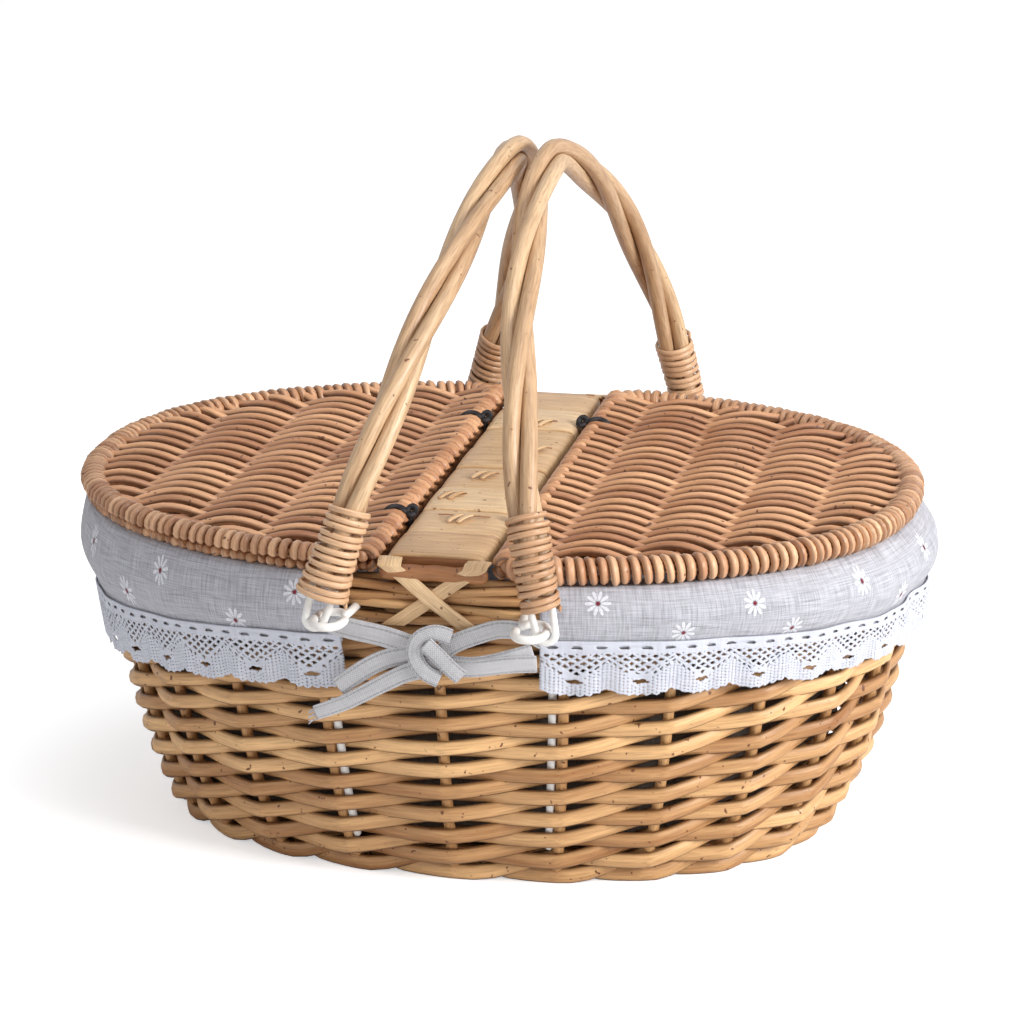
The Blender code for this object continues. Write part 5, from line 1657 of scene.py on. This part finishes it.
def lace_point(side, u, depth_share):
    angle = skirt_angle(side, u)
    gathered = 1.0 - LACE_GATHER * max(math.cos(angle), 0.0) ** 3
    height = hem_height(angle) + LACE_OVERLAP - LACE_DEPTH * gathered * depth_share
    flare = LACE_FLARE * math.sin(2.0 * math.pi * u * LACE_FLARES) * depth_share
    return outer_point(angle, height, SKIRT_GAP + folds(angle, 1.0) + CLOTH_THICKNESS + LACE_LIFT + flare)


def cut_holes(lace, run):
    """Deletes the cells of the flat grid that lie in a hole of the pattern."""
    bpy.ops.object.mode_set(mode="EDIT")
    bpy.ops.mesh.select_all(action="DESELECT")
    bpy.ops.mesh.select_mode(type="FACE")
    bpy.ops.object.mode_set(mode="OBJECT")
    for face in lace.data.polygons:
        face.select = lace_hole((face.center.x + 0.5) * run, (face.center.y + 0.5) * LACE_DEPTH)
    bpy.ops.object.mode_set(mode="EDIT")
    bpy.ops.mesh.delete(type="FACE")
    bpy.ops.object.mode_set(mode="OBJECT")


def make_lace(side_name, side):
    """One lace as a grid whose cells are as small as a thread, and the length of its middle."""
    middle = [lace_point(side, step / LACE_MEASURE_STEPS, 0.5) for step in range(LACE_MEASURE_STEPS + 1)]
    run = running_length(middle)[-1]
    lace = new_grid(f"{side_name}_crochet_lace", round(run / LACE_CELL), round(LACE_DEPTH / LACE_CELL))
    mark_cloth(lace, lambda index: ((lace.data.vertices[index].co.x + 0.5) * run,
                                    (lace.data.vertices[index].co.y + 0.5) * LACE_DEPTH))
    cut_holes(lace, run)
    for vert in lace.data.vertices:
        u, v = vert.co.x + 0.5, vert.co.y + 0.5
        vert.co = lace_point(side, u, v * lace_edge(u * run))
    thicken(lace, LACE_THICKNESS)
    dress(lace, LACE)
    return lace, run


for side_name, side in SIDES:
    lace, run = make_lace(side_name, side)
    settle(lace, "basket", "lace", f"lace_trim_{side_name}")

# %% [markdown]
# ## The bag inside
# Inside the wall the same linen makes a bag with a flat floor. It is seen when a lid is open, and through
# the gaps of the weave, where its outer faces carry a dark brown painted shade.

# %% Liner bag
BAG_COLUMNS, BAG_ROWS = 160, 34
BAG_INSET, BAG_FOLD = 0.0102, 0.0005
BAG_FLOOR_SHARE, BAG_FLOOR_HEIGHT, BAG_FLOOR_EDGE = 0.35, 0.012, 0.016
BAG_FLOOR, BAG_WALL_FOOT, BAG_TOP = 0.0100, 0.0112, 0.150


def bag_point(u, v):
    """From the middle of the floor at v = 0, out to the wall and up to the rim at v = 1."""
    angle = 2.0 * math.pi * u
    if v < BAG_FLOOR_SHARE:
        share = max(v / BAG_FLOOR_SHARE, 0.02)
        return oval((half_length(BAG_FLOOR_HEIGHT) - BAG_FLOOR_EDGE) * share,
                    (half_width(BAG_FLOOR_HEIGHT) - BAG_FLOOR_EDGE) * share, angle,
                    BAG_FLOOR + (BAG_WALL_FOOT - BAG_FLOOR) * share**6)
    share = (v - BAG_FLOOR_SHARE) / (1.0 - BAG_FLOOR_SHARE)
    wave = (math.sin(23.0 * angle) + math.sin(15.0 * angle + 1.0) + 2.0) * min(v, 0.6)
    inset = BAG_INSET + BAG_FOLD * wave + 0.0055 * (1.0 - share) ** 6
    return inside_wall(angle, BAG_WALL_FOOT + (BAG_TOP - BAG_WALL_FOOT) * share**1.1, inset)


bag, _ = cloth_grid("linen_bag", BAG_COLUMNS, BAG_ROWS, bag_point, LINEN)
# Outer faces take the dark painted shade, inner faces keep the linen.
bag.data.materials.append(BAG_OUTSIDE_SHADE)
for face in bag.data.polygons:
    spot, facing = face.center, face.normal
    face.material_index = 1 if spot.x * facing.x + spot.y * facing.y > 0.0 else 0
settle(bag, "basket", "linen", "liner_bag")

# %% [markdown]
# ## Tapes
# Flat cotton tapes at the corners of the skirts are tied across the gap, with one loop and one
# long tail at the front.

# %% Tapes and knot
TAPE_THICKNESS = 0.0011
TAPE_CROWN = 0.0005
TAPE_Y_END, TAPE_Y_KNOT, TAPE_REACH = 0.1612, 0.1668, 0.050
LONG_TAIL = ((0.0050, 0.1290), (-0.0020, 0.1255), (-0.0120, 0.1215), (-0.0250, 0.1140),
             (-0.0400, 0.1050), (-0.0547, 0.0985))
TAPES = {
    "upper_left": (0.0102, 0.0, ((-0.0480, 0.1425), (-0.0373, 0.1405), (-0.0220, 0.1385),
                                 (-0.0078, 0.1353), (0.0020, 0.1330))),
    "lower_left": (0.0092, 0.0002, ((-0.0440, 0.1115), (-0.0370, 0.1170), (-0.0280, 0.1235),
                                    (-0.0180, 0.1285), (-0.0040, 0.1320))),
    "upper_right": (0.0088, 0.0004, ((0.0070, 0.1340), (0.0130, 0.1380), (0.0226, 0.1420),
                                     (0.0329, 0.1450), (0.0446, 0.1440), (0.0530, 0.1400))),
    "middle_right": (0.0078, -0.0002, ((0.0090, 0.1280), (0.0200, 0.1272), (0.0320, 0.1295),
                                       (0.0480, 0.1345))),
    "lower_right": (0.0080, 0.0012, ((0.0080, 0.1262), (0.0200, 0.1258), (0.0360, 0.1280),
                                     (0.0500, 0.1290))),
    "tail": (0.0096, 0.0020, LONG_TAIL),
    "knot_loop": (0.0078, 0.0044, ((0.0115, 0.1420), (0.0040, 0.1438), (-0.0035, 0.1400),
                                   (-0.0055, 0.1325), (-0.0012, 0.1250), (0.0060, 0.1210))),
    "knot_band": (0.0078, 0.0064, ((0.0000, 0.1390), (0.0055, 0.1338), (0.0115, 0.1275),
                                   (0.0165, 0.1232))),
}
TAIL_END_SHARE = 0.0070 / 0.0096


def tape(name, end, width, lift, places):
    """A tape through (along the gap, height) places, this far out from the others, in soft bends."""
    spots = []
    for x, z in places:
        nearness = 1.0 - min(abs(x) / TAPE_REACH, 1.0)
        y = TAPE_Y_END + (TAPE_Y_KNOT - TAPE_Y_END) * nearness + lift
        spots.append(Vector((-end * x, end * y, z)))
    route = smooth(spots)
    end_share = TAIL_END_SHARE if name == "tail" else 1.0
    spans = []
    for index in range(len(route)):
        narrowed = 1.0 + (end_share - 1.0) * index / (len(route) - 1)
        outward = Vector((0.0, end, 0.0))
        spans.append(direction(route, index).cross(outward).normalized() * narrowed)
    return strip(name, route, spans, width, TAPE_THICKNESS, TAPE, columns=6, crown=TAPE_CROWN)


# %% Frayed end of the long tail
THREADS = 7
THREAD_RADIUS = 0.00028
THREAD_PITCH = 0.0010
THREAD_PLACES = (0.0, 0.0018, 0.0036, 0.0050)
THREAD_CURL, THREAD_CURL_RUN = (-0.0035, 0.0020), 0.006


def thread_route(end, number):
    """A loose thread that goes on from the tail's end and curls a little."""
    x, z = LONG_TAIL[-1]
    z += THREAD_PITCH * (number - (THREADS - 1) // 2)
    curl = CHANCE.uniform(*THREAD_CURL)
    return [Vector((-end * (x + 0.0015 - reach), end * (TAPE_Y_END + 0.0020),
                    z - 0.4 * reach + curl * (reach / THREAD_CURL_RUN) ** 2))
            for reach in THREAD_PLACES]


for end_name, end in ENDS:
    parts = [tape(name, end, *shape) for name, shape in TAPES.items()]
    bow = join_all(f"cotton_bow_{end_name}", parts)
    fray = rods(f"bow_threads_{end_name}", [thread_route(end, number) for number in range(THREADS)],
                THREAD_RADIUS, THREAD_RADIUS, TAPE_THREAD, fine=1)
    settle(fray, "basket", "tape")
    settle(bow, "basket", "tape", f"tape_bow_{end_name}")
